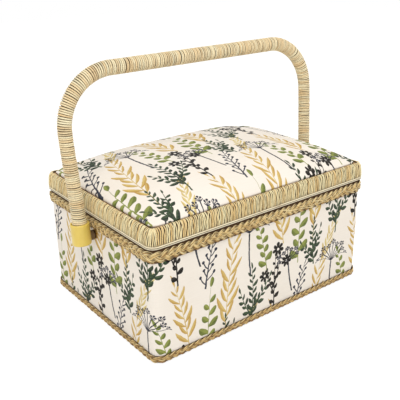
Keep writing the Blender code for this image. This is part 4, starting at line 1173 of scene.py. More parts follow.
class BASKET_OT_padding(bpy.types.Operator):
    """Pads the lid: a crowned cover of the printed cotton, filled by simulated cloth"""
    bl_idname = "basket.padding"
    bl_label = "Pad The Lid"

    def execute(self, context):
        settings = context.scene.basket_padding
        material = print_material("printed cotton, lid", context.scene.basket_print)
        cushion = self.shape()
        cushion.data.materials.append(material)
        remesh(cushion, settings.voxel)
        inflate(cushion, settings, held=lambda place: place.z < wrap_high.z + 0.0006)
        self.pucker(cushion)
        refine = cushion.modifiers.new("Smooth", "SUBSURF")
        refine.levels = 1
        refine.render_levels = 1
        cushion.data.shade_smooth()
        finish(cushion, "lid", "printed_cotton", "lid_cushion")
        return {"FINISHED"}

    def shape(self):
        """The unfilled cover: a foot inside the rails and a broad crown, a little low all over."""
        half_x, half_y = cushion_high.x - 0.0008, cushion_high.y - 0.0008
        edge = wrap_high.z + 0.0004
        crown = cushion_high.z - edge - 0.0028
        columns, rows = 60, 44
        foot, top = [], []
        for row in range(rows + 1):
            for column in range(columns + 1):
                x = half_x * math.sin((column / columns - 0.5) * math.pi)
                y = half_y * math.sin((row / rows - 0.5) * math.pi)
                x, y = round_corner(x, y, half_x, half_y, CUSHION_CORNER_RADIUS)
                fall = (1 - abs(x / half_x) ** 3.4) * (1 - abs(y / half_y) ** 3.4)
                inward = 1 - 0.0035 / half_x
                foot.append((x * inward, y * inward, cushion_low.z + 0.0002))
                top.append((x, y, edge + crown * max(fall, 0) ** 0.56))
        count = len(foot)
        faces = []
        for face, under in zip(grid_faces(columns, rows), grid_faces(columns, rows, downwards=True)):
            faces += [tuple(count + index for index in face), under]
        border = grid_border(columns, rows)
        for first, second in zip(border, border[1:] + border[:1]):
            faces.append((first, second, count + second, count + first))
        return close_and_face(mesh_object("lid_padding", foot + top, faces))

    def pucker(self, cushion):
        """Small gathers where the cloth is drawn down inside the rim, and a soft unevenness."""
        half_x, half_y = cushion_high.x, cushion_high.y
        for vertex in cushion.data.vertices:
            place = vertex.co
            edge = min(half_x - abs(place.x), half_y - abs(place.y))
            if place.z < wrap_high.z:
                continue
            along = place.x if half_y - abs(place.y) < half_x - abs(place.x) else place.y
            fade = max(1 - edge / 0.022, 0) ** 1.5
            gather = uneven(along * 150, edge * 20, 3.1) * 0.0007
            soft = uneven(place.x * 16, place.y * 16, 0.7) * 0.0007
            vertex.co.z += gather * fade + soft * min(edge / 0.03, 1)


def remesh(piece, voxel):
    modifier = piece.modifiers.new("Remesh", "REMESH")
    modifier.mode = "VOXEL"
    modifier.voxel_size = voxel
    materials = list(piece.data.materials)
    mesh = evaluated_mesh(piece)
    piece.modifiers.clear()
    piece.data = mesh
    mesh.materials.clear()
    for material in materials:
        mesh.materials.append(material)


def inflate(piece, settings, held):
    """Fills a closed cover with pressure; points that held() names stay put, the rest move only so far."""
    before = [vertex.co.copy() for vertex in piece.data.vertices]
    pins = piece.vertex_groups.new(name="held")
    pins.add([vertex.index for vertex in piece.data.vertices if held(vertex.co)], 1.0, "REPLACE")
    cloth = piece.modifiers.new("Cloth", "CLOTH")
    cloth.settings.vertex_group_mass = "held"
    cloth.settings.use_pressure = True
    cloth.settings.uniform_pressure_force = settings.pressure
    cloth.settings.effector_weights.gravity = 0
    cloth.settings.quality = 5
    cloth.settings.tension_stiffness = 20
    cloth.settings.bending_stiffness = 0.8
    scene = bpy.context.scene
    for number in range(1, 21):
        scene.frame_set(number)
    evaluated = piece.evaluated_get(bpy.context.evaluated_depsgraph_get())
    after = [vertex.co.copy() for vertex in evaluated.data.vertices]
    piece.modifiers.clear()
    piece.vertex_groups.clear()
    for vertex, start, end in zip(piece.data.vertices, before, after):
        move = end - start
        if move.length > settings.reach:
            move = move.normalized() * settings.reach
        vertex.co = start + move
    scene.frame_set(1)


class BASKET_OT_rim(bpy.types.Operator):
    """Sets the upright straw cords round the lid's rim, folded in over its top"""
    bl_idname = "basket.rim"
    bl_label = "Cord The Rim"

    def execute(self, context):
        settings = context.scene.basket_straw
        tones = (settings.light, settings.mid, settings.dark)
        # deep: how dark the painted shade in the gaps between cords is.
        material = straw_material("straw cord, rim", tones, 0.0, 2.2, 0.5, blotch=360.0, dark_share=0.30,
                                  deep=0.97)
        radius = settings.cord_radius
        height = wrap_high.z - wrap_low.z
        route = [(-radius, 0.0003), (-radius - 0.0001, 0.004), (-radius - 0.0006, height * 0.5),
                 (-radius - 0.0013, height * 0.76), (-radius - 0.0020, height - 0.0030),
                 (-radius - 0.0029, height - radius - 0.0006), (-radius - 0.0042, height - radius),
                 (-radius - 0.0052, height - radius - 0.0001)]
        # Outward and upward share of each point's open side; flanks turned away from it get painted shade.
        faces = [(1, 0.2)] * 4 + [(0.9, 0.5), (0.6, 0.8), (0, 1), (0, 1)]
        loop = Loop(wrap_high.x, wrap_high.y, RIM_CORNER_RADIUS)
        count = round(loop.length / settings.cord_pitch)
        random.seed(11)
        paths = []
        for index in range(count):
            along = loop.length * index / count
            outward = loop.outward(along)
            aside = Vector((-outward.y, outward.x, 0))
            slant = settings.slant + random.uniform(-0.0009, 0.0009)
            drift = random.uniform(0, 90)
            shade = random.uniform(0, 0.74)
            line, radii, shades = [], [], []
            for x, z in route:
                share = z / height
                wiggle = uneven(share * 4.5, drift, 2.0)
                place = loop.point(along, x, wrap_low.z + z)
                line.append(place + aside * (slant * (share - 0.5) + 0.00110 * wiggle))
                radii.append(radius * (1 + 0.25 * uneven(share * 3.4, drift, 6.0)))
                shades.append(min(max(shade + 0.25 * wiggle, 0), 1))
            directions = [outward * out + Vector((0, 0, up)) for out, up in faces]
            # The last value is the cord's own painted shade level, so some gaps are darker than others.
            paths.append((line, radii, shades, False, directions, random.uniform(-0.12, 0.06)))
        rim = cords("rim_cords", paths, material, sides=8)
        finish(rim, "lid", "straw_cord", "rim_wrap")
        # A dark sheet behind the cords, seen through their gaps as painted shade.
        shade_backing_material = felt_material("dark sheet, painted shade", colour(54, 36, 20), colour(78, 54, 30))
        inner = 0.0019
        bottom, top = wrap_low.z + 0.0010, wrap_high.z - 0.0013
        profile = [(-inner, bottom), (-inner - 0.0016, top - 0.0009), (-inner - 0.0030, top), (-0.0058, top),
                   (-0.0058, top - 0.0006), (-0.0041, top - 0.0006), (-0.0041, bottom)]
        backing = close_and_face(loft("rim_backing", loop, profile, 240, shade_backing_material, closed=True))
        finish(backing, "lid", "straw_cord")
        return {"FINISHED"}


class BASKET_OT_piping(bpy.types.Operator):
    """Lays the two smooth piping cords under the rim"""
    bl_idname = "basket.piping"
    bl_label = "Pipe The Rim"

    def execute(self, context):
        tones = (colour(255, 248, 220), colour(248, 230, 184), colour(150, 110, 60))
        material = straw_material("pale piping", tones, 120.0, 1.6, 0.35)
        loop = Loop(piping_high.x, piping_high.y, RIM_CORNER_RADIUS)
        height = piping_high.z - piping_low.z
        radius = height / 4
        steps = 420
        paths = []
        for number, share, tilt in ((0, 0.25, -0.8), (1, 0.75, 0.3)):
            line, directions = [], []
            for step in range(steps):
                along = loop.length * step / steps
                wander = 0.00012 * uneven(along * 60, number * 9.0, 0)
                line.append(loop.point(along, -radius + wander, piping_low.z + height * share + wander))
                # Open side of each cord; the flanks that face each other get painted shade, a dark line
                # between the two cords.
                directions.append(loop.outward(along, tilt).normalized())
            paths.append((line, radius * 1.04, 0.2 + 0.3 * number, True, directions, 0))
        piping = cords("rim_piping_cords", paths, material, sides=10)
        finish(piping, "lid", "pale_cord", "rim_piping")
        return {"FINISHED"}


def plait(loop, bottom, top, thickness, wave, blades, seed, flat_spots=()):
    """Paths of a flat plait of three strands, each of many blades, lying on the box's cover."""
    random.seed(seed)
    middle, half = (bottom + top) / 2, (top - bottom) / 2
    strand = half * 0.40
    blade = strand / blades * 0.78
    swing = half - strand - blade
    waves = round(loop.length / wave)
    steps = waves * 12
    paths = []
    for number in range(3):
        for index in range(blades):
            share = (index + 0.5) / blades * 2 - 1
            line, radii, directions, painted_shade_levels = [], [], [], []
            drift = random.uniform(0, 50)
            own_height = random.uniform(-0.5, 0.5) * blade
            for step in range(steps):
                along = loop.length * step / steps
                phase = 2 * math.pi * (step * waves / steps + number / 3)
                sway = 1 + 0.12 * uneven(along * 25, number * 3.0, 8.0)
                spread = share * strand * (0.90 + 0.25 * uneven(along * 45, drift, 1.0))
                height = swing * math.sin(phase) * sway + spread
                over = math.sin(2 * phase)
                bulge = (1 - share * share) * blade * 0.8
                depth = thickness * (0.47 + 0.26 * over) + bulge + own_height
                depth += 0.00030 * uneven(along * 110, drift, 5.0)
                spot_near = any((loop.point(along, 0, 0).xy - spot).length < 0.016 for spot in flat_spots)
                limit = thickness * 0.62 if spot_near else thickness
                height = max(min(height, half - blade), blade - half)
                depth = max(min(depth, limit - blade), blade)
                line.append(loop.point(along, TOUCH + depth, middle + height))
                radii.append(blade * (1 + 0.25 * uneven(along * 55, drift, 9.0)))
                # Open side of each blade, and its painted shade level: darker where its strand passes under
                # the others and at the strand's edges.
                directions.append(loop.outward(along, 0.5 * height / half).normalized())
                painted_shade_levels.append(0.05 - 0.18 * over + 0.08 * abs(share))
            paths.append((line, radii, random.random(), True, directions, painted_shade_levels))
    return paths


class BASKET_OT_braids(bpy.types.Operator):
    """Plaits the braid round the box's top and the narrower one round its foot"""
    bl_idname = "basket.braids"
    bl_label = "Braid The Box"

    def execute(self, context):
        settings = context.scene.basket_braid
        tones = (settings.light, settings.mid, settings.dark)
        # deep: how dark the painted shade between the blades is.
        material = straw_material("seagrass", tones, 90.0, 2.6, 0.6, blotch=300.0, dark_share=0.50, deep=0.88)
        loop = Loop(cover_high.x, cover_high.y, BOX_CORNER_RADIUS)
        hinges = [Vector((sign * abs(leaf_low.x + leaf_high.x) / 2, leaf_low.y)) for sign in (-1, 1)]
        thickness = top_braid_high.x - cover_high.x - TOUCH
        paths = plait(loop, top_braid_low.z, top_braid_high.z, thickness, settings.top_wave, 4, 21, hinges)
        finish(cords("top_braid_strands", paths, material), "box", "seagrass", "top_braid")
        paths = self.stray_blades(loop, thickness, settings.stray_blades)
        finish(cords("top_braid_stray_blades", paths, material, sides=5), "box", "seagrass")
        self.shade_sheet("top_braid_tape", loop, top_braid_low.z + 0.0004, wrap_low.z - 0.0040)
        thickness = foot_braid_high.x - cover_high.x - TOUCH
        paths = plait(loop, foot_braid_low.z, foot_braid_high.z, thickness, settings.foot_wave, 3, 33)
        finish(cords("foot_braid_strands", paths, material), "box", "seagrass", "foot_braid")
        self.shade_sheet("foot_braid_tape", loop, foot_braid_low.z + 0.0004, foot_braid_high.z - 0.0014)
        return {"FINISHED"}

    def stray_blades(self, loop, thickness, count):
        """Blades that have worked loose and lie aslant over the top braid."""
        random.seed(47)
        steps = 9
        paths = []
        while len(paths) < count:
            along = random.uniform(0, loop.length)
            length = random.uniform(0.012, 0.034)
            slope = random.choice((-1, 1)) * random.uniform(0.0015, 0.0048)
            middle = (top_braid_low.z + top_braid_high.z) / 2 + random.uniform(-0.0022, 0.0022)
            full = random.uniform(0.00036, 0.00056)
            bow = random.uniform(-0.0012, 0.0012)
            shade = random.uniform(0, 0.9)
            line, radii, directions = [], [], []
            for step in range(steps):
                share = step / (steps - 1) * 2 - 1
                place = (along + length * share / 2) % loop.length
                lift = TOUCH + thickness - full * (0.4 + 1.6 * share * share)
                line.append(loop.point(place, lift, middle + slope * share + bow * (1 - share * share)))
                radii.append(full * (1 - 0.5 * abs(share) ** 3))
                directions.append(loop.outward(place))
            if line[steps // 2].y < cover_high.y:
                # The last value keeps the painted shade on a loose blade a little lighter.
                paths.append((line, radii, shade, False, directions, -0.05))
        return paths

    def shade_sheet(self, name, loop, bottom, top):
        """Dark sheet behind a braid, seen between its blades as painted shade."""
        material = felt_material(name, colour(66, 45, 25), colour(94, 66, 37))
        profile = [(TOUCH, bottom), (TOUCH + 0.0003, bottom), (TOUCH + 0.0003, top), (TOUCH, top)]
        finish(close_and_face(loft(name, loop, profile, 240, material, closed=True)), "box", "seagrass")


def handle_point(along):
    """Place on the handle's centre line, in its own plane, at a length from the left ferrule's pivot."""
    top_x = HANDLE_HALF_SPAN + HANDLE_BOW
    post = HANDLE_RISE - HANDLE_CORNER_RADIUS
    corner = HANDLE_CORNER_RADIUS * math.pi / 2
    bar = 2 * (top_x - HANDLE_CORNER_RADIUS)
    whole = 2 * (post + corner) + bar
    mirrored = along > whole / 2
    if mirrored:
        along = whole - along
    if along < post:
        share = max(along - FERRULE_TOP, 0) / (post - FERRULE_TOP)
        x, z = HANDLE_HALF_SPAN + HANDLE_BOW * math.sin(share * math.pi / 2) ** 2, along
    elif along < post + corner:
        angle = (along - post) / HANDLE_CORNER_RADIUS
        x = top_x - HANDLE_CORNER_RADIUS * (1 - math.cos(angle))
        z = post + HANDLE_CORNER_RADIUS * math.sin(angle)
    else:
        x, z = bar / 2 - (along - post - corner), HANDLE_RISE
    return Vector((x if mirrored else -x, 0, z)), whole


def to_handle(point):
    """From the handle's own plane to its place on the box."""
    return pivot + Matrix.Rotation(-HANDLE_TILT, 3, "X") @ Vector(point)


class BASKET_OT_handle(bpy.types.Operator):
    """Winds the handle with straw cord from one ferrule to the other"""
    bl_idname = "basket.handle"
    bl_label = "Wind The Handle"

    def execute(self, context):
        settings = context.scene.basket_handle
        tones = (settings.light, settings.mid, context.scene.basket_straw.dark)
        # deep: how dark the painted shade between the turns is.
        material = straw_material("straw cord, handle", tones, 40.0, 2.4, 0.6, blotch=420.0, dark_share=0.30,
                                  deep=0.97)
        whole = handle_point(0)[1]
        start = FERRULE_TOP - 0.0056
        end = whole - start
        sides = 18
        radius = settings.cord_radius
        line, radii, directions, shades, painted_shade_levels = [], [], [], [], []
        steps = settings.turns * sides
        for step in range(steps + 1):
            turn = step / sides
            loose = uneven(turn * 0.9, 4.0, 0) * 0.00055
            along = start + (end - start) * step / steps + loose
            centre = handle_point(along)[0]
            onward = handle_point(min(along + 0.0005, whole))[0] - handle_point(max(along - 0.0005, 0))[0]
            onward.normalize()
            across = Vector((-onward.z, 0, onward.x))
            angle = 2 * math.pi * turn
            post = HANDLE_RISE - HANDLE_CORNER_RADIUS
            from_end = min(along, whole - along)
            fullness = min(max((from_end - post) / HANDLE_CORNER_RADIUS, 0), 1)
            slack = max(1 - (from_end - FERRULE_TOP) / 0.014, 0) if along > FERRULE_TOP else 0
            ripple = 0.00022 + 0.0005 * slack
            outer = WINDING_RADIUS + WINDING_SWELL * fullness + ripple * uneven(turn * 1.7, 2.0, 0)
            if slack and along < whole - FERRULE_TOP:
                outer += 0.0005 * slack
            reach = outer - radius
            direction = across * math.cos(angle) + Vector((0, 1, 0)) * math.sin(angle)
            line.append(to_handle(centre + direction * reach))
            directions.append(Matrix.Rotation(-HANDLE_TILT, 3, "X") @ direction)
            shades.append(0.30 + 0.45 * uneven(turn * 1.9, 3.0, 0.5))
            # Painted shade level of each turn, so the gaps between turns are darker in some places.
            painted_shade_levels.append(0.02 + 0.18 * uneven(turn * 3.1, 6.0, 1.5))
            radii.append(radius * (1 + 0.10 * uneven(turn * 2.3, 7.0, 0)))
        path = (line, radii, shades, False, directions, painted_shade_levels)
        winding = cords("handle_cord_winding", [path], material, sides=8)
        finish(winding, "handle", "straw_cord", "handle_winding")
        self.line_core(whole)
        return {"FINISHED"}

    def line_core(self, whole):
        """Dark sleeve on the core, which shows between the turns as painted shade."""
        shade_sleeve_material = felt_material("shaded core", colour(92, 64, 34), colour(120, 86, 48))
        steps = 120
        start = FERRULE_TOP - 0.0052
        span = whole - 2 * start
        points = [to_handle(handle_point(start + span * step / steps)[0]) for step in range(steps + 1)]
        flat = [Vector((0, 0, 0))] * len(points)
        path = (points, CORE_RADIUS + 0.0006, 0.5, False, flat, 0)
        sleeve = cords("handle_core_sleeve", [path], shade_sleeve_material, sides=16)
        finish(sleeve, "handle", "straw_cord")


class BASKET_OT_ferrules(bpy.types.Operator):
    """Moulds the two yellow plastic ferrules that hold the handle's ends"""
    bl_idname = "basket.ferrules"
    bl_label = "Mould The Ferrules"

    def execute(self, context):
        material = plastic_material("yellow plastic", colour(228, 200, 94), colour(202, 166, 60), 0.30,
                                    Specular_IOR_Level=0.55, Coat_Weight=0.15)
        # The boss beside each ferrule is brown, as painted shade between the handle and the wall.
        boss_shade_material = plastic_material("brown boss, painted shade", colour(110, 88, 58), colour(80, 62, 40), 0.45)
        for side, sign in (("left", -1), ("right", 1)):
            cup = revolve(f"ferrule_cup_{side}", self.profile(), material)
            boss_start = max(abs(corner.x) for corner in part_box(f"pivot_washer_{side}"))
            boss_length = HANDLE_HALF_SPAN - FERRULE_RADIUS / 2 - boss_start - TOUCH
            boss = revolve("boss", [(0, 0), (BOSS_RADIUS - 0.0003, 0), (BOSS_RADIUS, 0.0003),
                                    (BOSS_RADIUS, boss_length), (0, boss_length)], material, steps=32)
            turn = Matrix.Rotation(sign * math.pi / 2, 4, "Y")
            inwards = boss_start + TOUCH - HANDLE_HALF_SPAN
            boss.data.transform(Matrix.Translation((sign * inwards, 0, 0)) @ turn)
            boolean(cup, boss, "UNION")
            cup.data.materials.clear()
            cup.data.materials.append(material)
            cup.data.materials.append(boss_shade_material)
            for face in cup.data.polygons:
                face.material_index = 1 if -sign * face.center.x > FERRULE_RADIUS + 0.0003 else 0
            place = Matrix.Translation(pivot) @ Matrix.Rotation(-HANDLE_TILT, 4, "X")
            cup.data.transform(place @ Matrix.Translation((sign * HANDLE_HALF_SPAN, 0, 0)))
            smooth_by_angle(cup, 50)
            finish(cup, "handle", "yellow_plastic", f"ferrule_{side}")
        return {"FINISHED"}

    def profile(self):
        """Half section of a ferrule, rounded at its foot and lip, hollow where the handle goes in."""
        radius, bottom, top = FERRULE_RADIUS, FERRULE_BOTTOM, FERRULE_TOP
        foot = 0.0016
        section = [(0, bottom)]
        for step in range(6):
            angle = step / 5 * math.pi / 2
            section.append((radius - foot + foot * math.sin(angle), bottom + foot - foot * math.cos(angle)))
        section += [(radius, top - 0.0026), (radius + 0.0002, top - 0.0020), (radius + 0.0002, top - 0.0006)]
        section += [(radius - 0.0003, top), (0.0085, top), (0.0082, top - 0.0004)]
        section += [(0.0081, top - FERRULE_SOCKET_DEPTH), (0, top - FERRULE_SOCKET_DEPTH)]
        return section


class BASKET_OT_hardware(bpy.types.Operator):
    """Gives the hinges, pins, bolts and bushes their metal, and sets the slotted screws"""
    bl_idname = "basket.hardware"
    bl_label = "Fit The Hardware"

    def execute(self, context):
        brass = metal_material("brass", colour(208, 178, 112), colour(180, 148, 86), 0.26)
        steel = metal_material("zinc plated steel", colour(196, 198, 200), colour(150, 152, 156), 0.34)
        # The washers are darkened as painted shadow beside each ferrule.
        bronze = metal_material("bronze, painted shadow", colour(96, 76, 52), colour(62, 48, 32), 0.42)
        for name, node in frame["nodes"].items():
            if name.startswith(("hinge_", "pivot_bush")):
                dress(node, brass)
            if name.startswith("pivot_bolt"):
                dress(node, steel)
            if name.startswith("pivot_washer"):
                dress(node, bronze)
        for body, prefix in (("box", "box_hinge_screw"), ("lid", "lid_hinge_screw")):
            names = sorted(name for name in frame["nodes"] if name.startswith(prefix))
            places, facings = [], []
            for index, name in enumerate(names):
                low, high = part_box(name)
                places.append(((low.x + high.x) / 2, high.y, (low.z + high.z) / 2))
                facings.append((-math.pi / 2, 0.7 * index, 0))
            low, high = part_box(names[0])
            screw = self.screw((high.x - low.x) / 2, high.y - low.y, brass)
            finish(copies(prefix + "s", screw, places, facings, brass), body, "brass", *names)
        return {"FINISHED"}

    def screw(self, radius, length, material):
        """A round-head screw with a straight slot, its head's top at the origin, pointing down."""
        head = 0.0009
        section = [(0, -length), (radius * 0.35, -length + 0.0008), (radius * 0.47, -length + 0.0016),
                   (radius * 0.47, -head), (radius, -head), (radius, -head * 0.75)]
        for step in range(1, 6):
            angle = step / 6 * math.pi / 2
            section.append((radius * math.cos(angle), -head * 0.75 * (1 - math.sin(angle))))
        section.append((0, 0))
        body = revolve("screw", section, material, steps=24)
        wide, deep, above = 0.00022, 0.00045, 0.0005
        corners = [(x, y, z) for x in (-radius, radius) for y in (-wide, wide) for z in (-deep, above)]
        sides = [(0, 1, 3, 2), (4, 6, 7, 5), (0, 4, 5, 1), (2, 3, 7, 6), (0, 2, 6, 4), (1, 5, 7, 3)]
        boolean(body, close_and_face(mesh_object("slot", corners, sides)), "DIFFERENCE")
        return smooth_by_angle(body, 35)


def dress(node, material):
    """Gives one of the frame's own nodes its material."""
    node.data.materials.clear()
    node.data.materials.append(material)


class BASKET_OT_woodwork(bpy.types.Operator):
    """Gives the boards, posts, rails and ledges their wood, and the base its felt"""
    bl_idname = "basket.woodwork"
    bl_label = "Finish The Woodwork"

    def execute(self, context):
        light, dark = colour(214, 178, 134), colour(176, 134, 92)
        lengthwise = wood_material("beech, lengthwise", light, dark, (30.0, 420.0, 420.0))
        crosswise = wood_material("beech, crosswise", light, dark, (420.0, 30.0, 420.0))
        upright = wood_material("beech, upright", light, dark, (420.0, 420.0, 30.0))
        board = felt_material("fibre board", colour(150, 134, 112), colour(122, 106, 86), 700.0)
        for name, node in frame["nodes"].items():
            if name in ("rail_front", "rail_back"):
                dress(node, lengthwise)
            elif name in ("rail_left", "rail_right") or name.startswith("tray_ledge"):
                dress(node, crosswise)
            elif name.startswith("corner_post") or name == "handle_core":
                dress(node, upright)
            elif name.endswith("_board"):
                dress(node, board)
        felt = felt_material("grey felt", colour(112, 108, 102), colour(84, 80, 76))
        loop = Loop(felt_high.x - 0.0004, felt_high.y - 0.0004, BOX_CORNER_RADIUS)
        steps = 160
        points, faces = [], []
        for inset, height in ((0.0003, 0), (0, 0.0003), (0, 0.0007), (0.0003, felt_high.z)):
            for step in range(steps):
                place = loop.point(loop.length * step / steps, 0, 0).xy
                points.append((*(place * (1 - inset / felt_high.x)), height))
        for near in range(3 * steps):
            far = near + 1 if (near + 1) % steps else near + 1 - steps
            faces.append((near, far, far + steps, near + steps))
        faces += [tuple(range(steps - 1, -1, -1)), tuple(range(3 * steps, 4 * steps))]
        sole = close_and_face(mesh_object("base_felt_sheet", points, faces, material=felt))
        finish(smooth_by_angle(sole, 40), "box", "grey_felt", "base_felt")
        return {"FINISHED"}


def quilt_height(x, y):
    """How full a diamond-quilted pad is at a place: 0 on the stitch lines, 1 between them."""
    across = abs(math.sin((x + y) * math.pi / QUILT_SIZE))
    along = abs(math.sin((x - y) * math.pi / QUILT_SIZE))
    return (across * along) ** 0.45


def quilted_pad(name, low, high, radius, material, faces_up):
    """A thin quilted pad between two corners, stitched in diamonds on the side that is seen."""
    half_x, half_y = (high.x - low.x) / 2, (high.y - low.y) / 2
    middle = (low + high) / 2
    columns, rows = round(half_x * 2 / QUILT_MESH), round(half_y * 2 / QUILT_MESH)
    back, thickness = (low.z, high.z - low.z) if faces_up else (high.z, low.z - high.z)
    points, crease_shades = [], []
    for row in range(rows + 1):
        for column in range(columns + 1):
            x, y = (column / columns * 2 - 1) * half_x, (row / rows * 2 - 1) * half_y
            x, y = round_corner(x, y, half_x, half_y, radius)
            border = min(min(half_x - abs(x), half_y - abs(y)) / 0.003, 1) ** 0.5
            full = (QUILT_LOWEST + (1 - QUILT_LOWEST) * quilt_height(x, y)) * border
            points.append((middle.x + x, middle.y + y, back + thickness * full))
            # Painted shade in the creases along the stitch lines.
            crease_shades.append(max(1 - quilt_height(x, y) * 1.6, 0) ** 2)
    faces, border = grid_faces(columns, rows), grid_border(columns, rows)
    close_pad(points, faces, border, back)
    pad = mesh_object(name, points, faces, material=material)
    store(pad.data, "crease_shade", "FLOAT", crease_shades + [0.0] * len(border))
    return close_and_face(pad)


class BASKET_OT_lining(bpy.types.Operator):
    """Lines the box and the lid in quilted satin"""
    bl_idname = "basket.lining"
    bl_label = "Line The Basket"

    def execute(self, context):
        satin = satin_material("cream satin", colour(238, 228, 206), colour(226, 214, 188))
        loop = Loop(lining_high.x, lining_high.y, LINING_CORNER_RADIUS)
        bottom, top = lining_low.z, lining_high.z
        rows = 36
        profile = [(-0.0009, bottom + (top - bottom) * row / rows) for row in range(rows)]
        profile += [(-0.0007, top - 0.0001), (-0.0003, top), (-0.0001, top - 0.0004), (-0.0001, bottom)]
        walls = loft("satin_wall_lining", loop, profile, 360, satin, closed=True)
        for vertex in walls.data.vertices:
            place = vertex.co
            share = (place.z - bottom) / (top - bottom)
            if abs(place.x) > lining_high.x - 0.0005 or abs(place.y) > lining_high.y - 0.0005:
                continue
            drape = uneven(place.x * 60, place.y * 60, share * 1.5)
            squeeze = 0.00018 * drape * math.sin(math.pi * share)
            vertex.co.x -= math.copysign(max(squeeze, 0), place.x)
            vertex.co.y -= math.copysign(max(squeeze, 0), place.y)
        close_and_face(walls)
        finish(walls, "box", "cream_satin", "inner_lining")
        pad = quilted_pad("quilted_floor_pad", floor_low, floor_high, LINING_CORNER_RADIUS, satin, True)
        finish(pad, "box", "cream_satin", "floor_pad")
        lid = quilted_pad("quilted_lid_lining", lid_lining_low, lid_lining_high, 0.004, satin, False)
        finish(lid, "lid", "cream_satin", "lid_lining")
        self.pocket(satin)
        self.pincushion(context)
        return {"FINISHED"}

    def pocket(self, satin):
        """Gathered pocket under the lid, its elastic edge towards the front."""
        middle_x = (pocket_low.x + pocket_high.x) / 2
        half_x, half_y = (pocket_high.x - pocket_low.x) / 2, (pocket_high.y - pocket_low.y) / 2
        columns, rows = 130, 60
        depth = pocket_high.z - pocket_low.z
        points = []
        for row in range(rows + 1):
            share = row / rows
            y = pocket_low.y + 2 * half_y * share
            for column in range(columns + 1):
                across = column / columns * 2 - 1
                x = middle_x + across * half_x
                gather = 0.5 + 0.5 * math.sin(across * 60 + 1.5 * uneven(across * 9, share * 2, 0))
                mouth = math.exp(-((share - 0.045) / 0.05) ** 2)
                pleat = gather * (0.35 + 0.65 * (1 - share)) * (1 - 0.75 * mouth)
                edge = min(min(1 - abs(across), 1 - share) * 22, 1) ** 0.5
                belly = 0.35 + 0.30 * math.sin(math.pi * share)
                fall = min((belly + 0.55 * pleat) * edge, 1)
                if share < 0.02:
                    fall = min(fall, 0.45)
                points.append((x, y, pocket_high.z - 0.0002 - (depth - 0.0003) * fall))
        faces = grid_faces(columns, rows, downwards=True)
        pocket = mesh_object("gathered_pocket", points, faces, material=satin)
        thicken(pocket, SATIN_THICKNESS)
        finish(pocket, "lid", "cream_satin", "lid_pocket")

    def pincushion(self, context):
        """A small filled cushion under the lid, tied down in its middle."""
        velvet = felt_material("mustard velvet", colour(208, 170, 88), colour(176, 136, 58), 1600.0)
        middle = (pincushion_low + pincushion_high) / 2
        half = (pincushion_high.x - pincushion_low.x) / 2
        depth = pincushion_high.z - pincushion_low.z
        points = []
        steps = 40
        for row in range(steps + 1):
            for column in range(steps + 1):
                u, v = column / steps * 2 - 1, row / steps * 2 - 1
                pull = 1 - 0.07 * (1 - u * u) * v * v
                side = 1 - 0.07 * (1 - v * v) * u * u
                crown = max((1 - u ** 4) * (1 - v ** 4), 0) ** 0.5
                tuft = math.exp(-(u * u + v * v) / 0.02)
                fold = 0.04 * math.sin(4 * math.atan2(v, u)) * math.exp(-(u * u + v * v) / 0.25)
                fall = min(max(crown * (1 - 0.62 * tuft) + fold * (1 - tuft), 0), 1)
                x, y = u * half * side, v * half * pull
                z = pincushion_high.z - 0.0004 - (depth - 0.0006) * fall
                points.append((middle.x + x, middle.y + y, z))
        faces = grid_faces(steps, steps, downwards=True)
        close_pad(points, faces, grid_border(steps, steps), pincushion_high.z)
        cushion = close_and_face(mesh_object("pincushion_pad", points, faces, material=velvet))
        finish(cushion, "lid", "cream_satin", "pincushion")


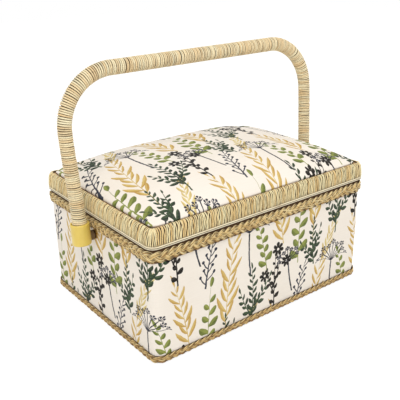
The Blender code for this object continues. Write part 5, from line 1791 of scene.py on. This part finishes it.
class BASKET_OT_tray(bpy.types.Operator):
    """Gives the lift-out tray and its dividers their clear plastic"""
    bl_idname = "basket.tray"
    bl_label = "Finish The Tray"

    def execute(self, context):
        clear = plastic_material("clear plastic", colour(246, 249, 250), colour(236, 242, 245), 0.18, 0.1,
                                 Alpha=0.55, IOR=1.46)
        for name, node in frame["nodes"].items():
            if name == "tray" or name.startswith(("tray_long", "tray_short")):
                dress(node, clear)
        return {"FINISHED"}


class BASKET_PT_panel(bpy.types.Panel):
    """The basket's operators and settings"""
    bl_label = "Sewing Basket"
    bl_idname = "BASKET_PT_panel"
    bl_space_type = "VIEW_3D"
    bl_region_type = "UI"
    bl_category = "Basket"

    def draw(self, context):
        for operator in OPERATORS:
            self.layout.operator(operator.bl_idname)
        for name in SETTINGS:
            box = self.layout.box()
            for key in getattr(context.scene, name).__annotations__:
                box.prop(getattr(context.scene, name), key)


OPERATORS = (
    BASKET_OT_stage, BASKET_OT_cover, BASKET_OT_padding, BASKET_OT_rim, BASKET_OT_piping, BASKET_OT_braids,
    BASKET_OT_handle, BASKET_OT_ferrules, BASKET_OT_hardware, BASKET_OT_woodwork, BASKET_OT_lining,
    BASKET_OT_tray,
)
SETTINGS = {
    "basket_print": BasketPrintSettings,
    "basket_straw": BasketStrawSettings,
    "basket_braid": BasketBraidSettings,
    "basket_handle": BasketHandleSettings,
    "basket_padding": BasketPaddingSettings,
    "basket_stage": BasketStageSettings,
}


def register():
    for cls in (*SETTINGS.values(), *OPERATORS, BASKET_PT_panel):
        bpy.utils.register_class(cls)
    for name, cls in SETTINGS.items():
        setattr(bpy.types.Scene, name, PointerProperty(type=cls))


def unregister():
    for name in SETTINGS:
        delattr(bpy.types.Scene, name)
    for cls in reversed((*SETTINGS.values(), *OPERATORS, BASKET_PT_panel)):
        bpy.utils.unregister_class(cls)


def plain(box):
    return [[float(value) for value in corner] for corner in box]


def main():
    register()
    bpy.ops.basket.stage()
    bpy.ops.basket.cover()
    bpy.ops.basket.padding()
    bpy.ops.basket.rim()
    bpy.ops.basket.piping()
    bpy.ops.basket.braids()
    bpy.ops.basket.handle()
    bpy.ops.basket.ferrules()
    bpy.ops.basket.hardware()
    bpy.ops.basket.woodwork()
    bpy.ops.basket.lining()
    bpy.ops.basket.tray()
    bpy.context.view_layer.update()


if __name__ == "__main__":
    main()
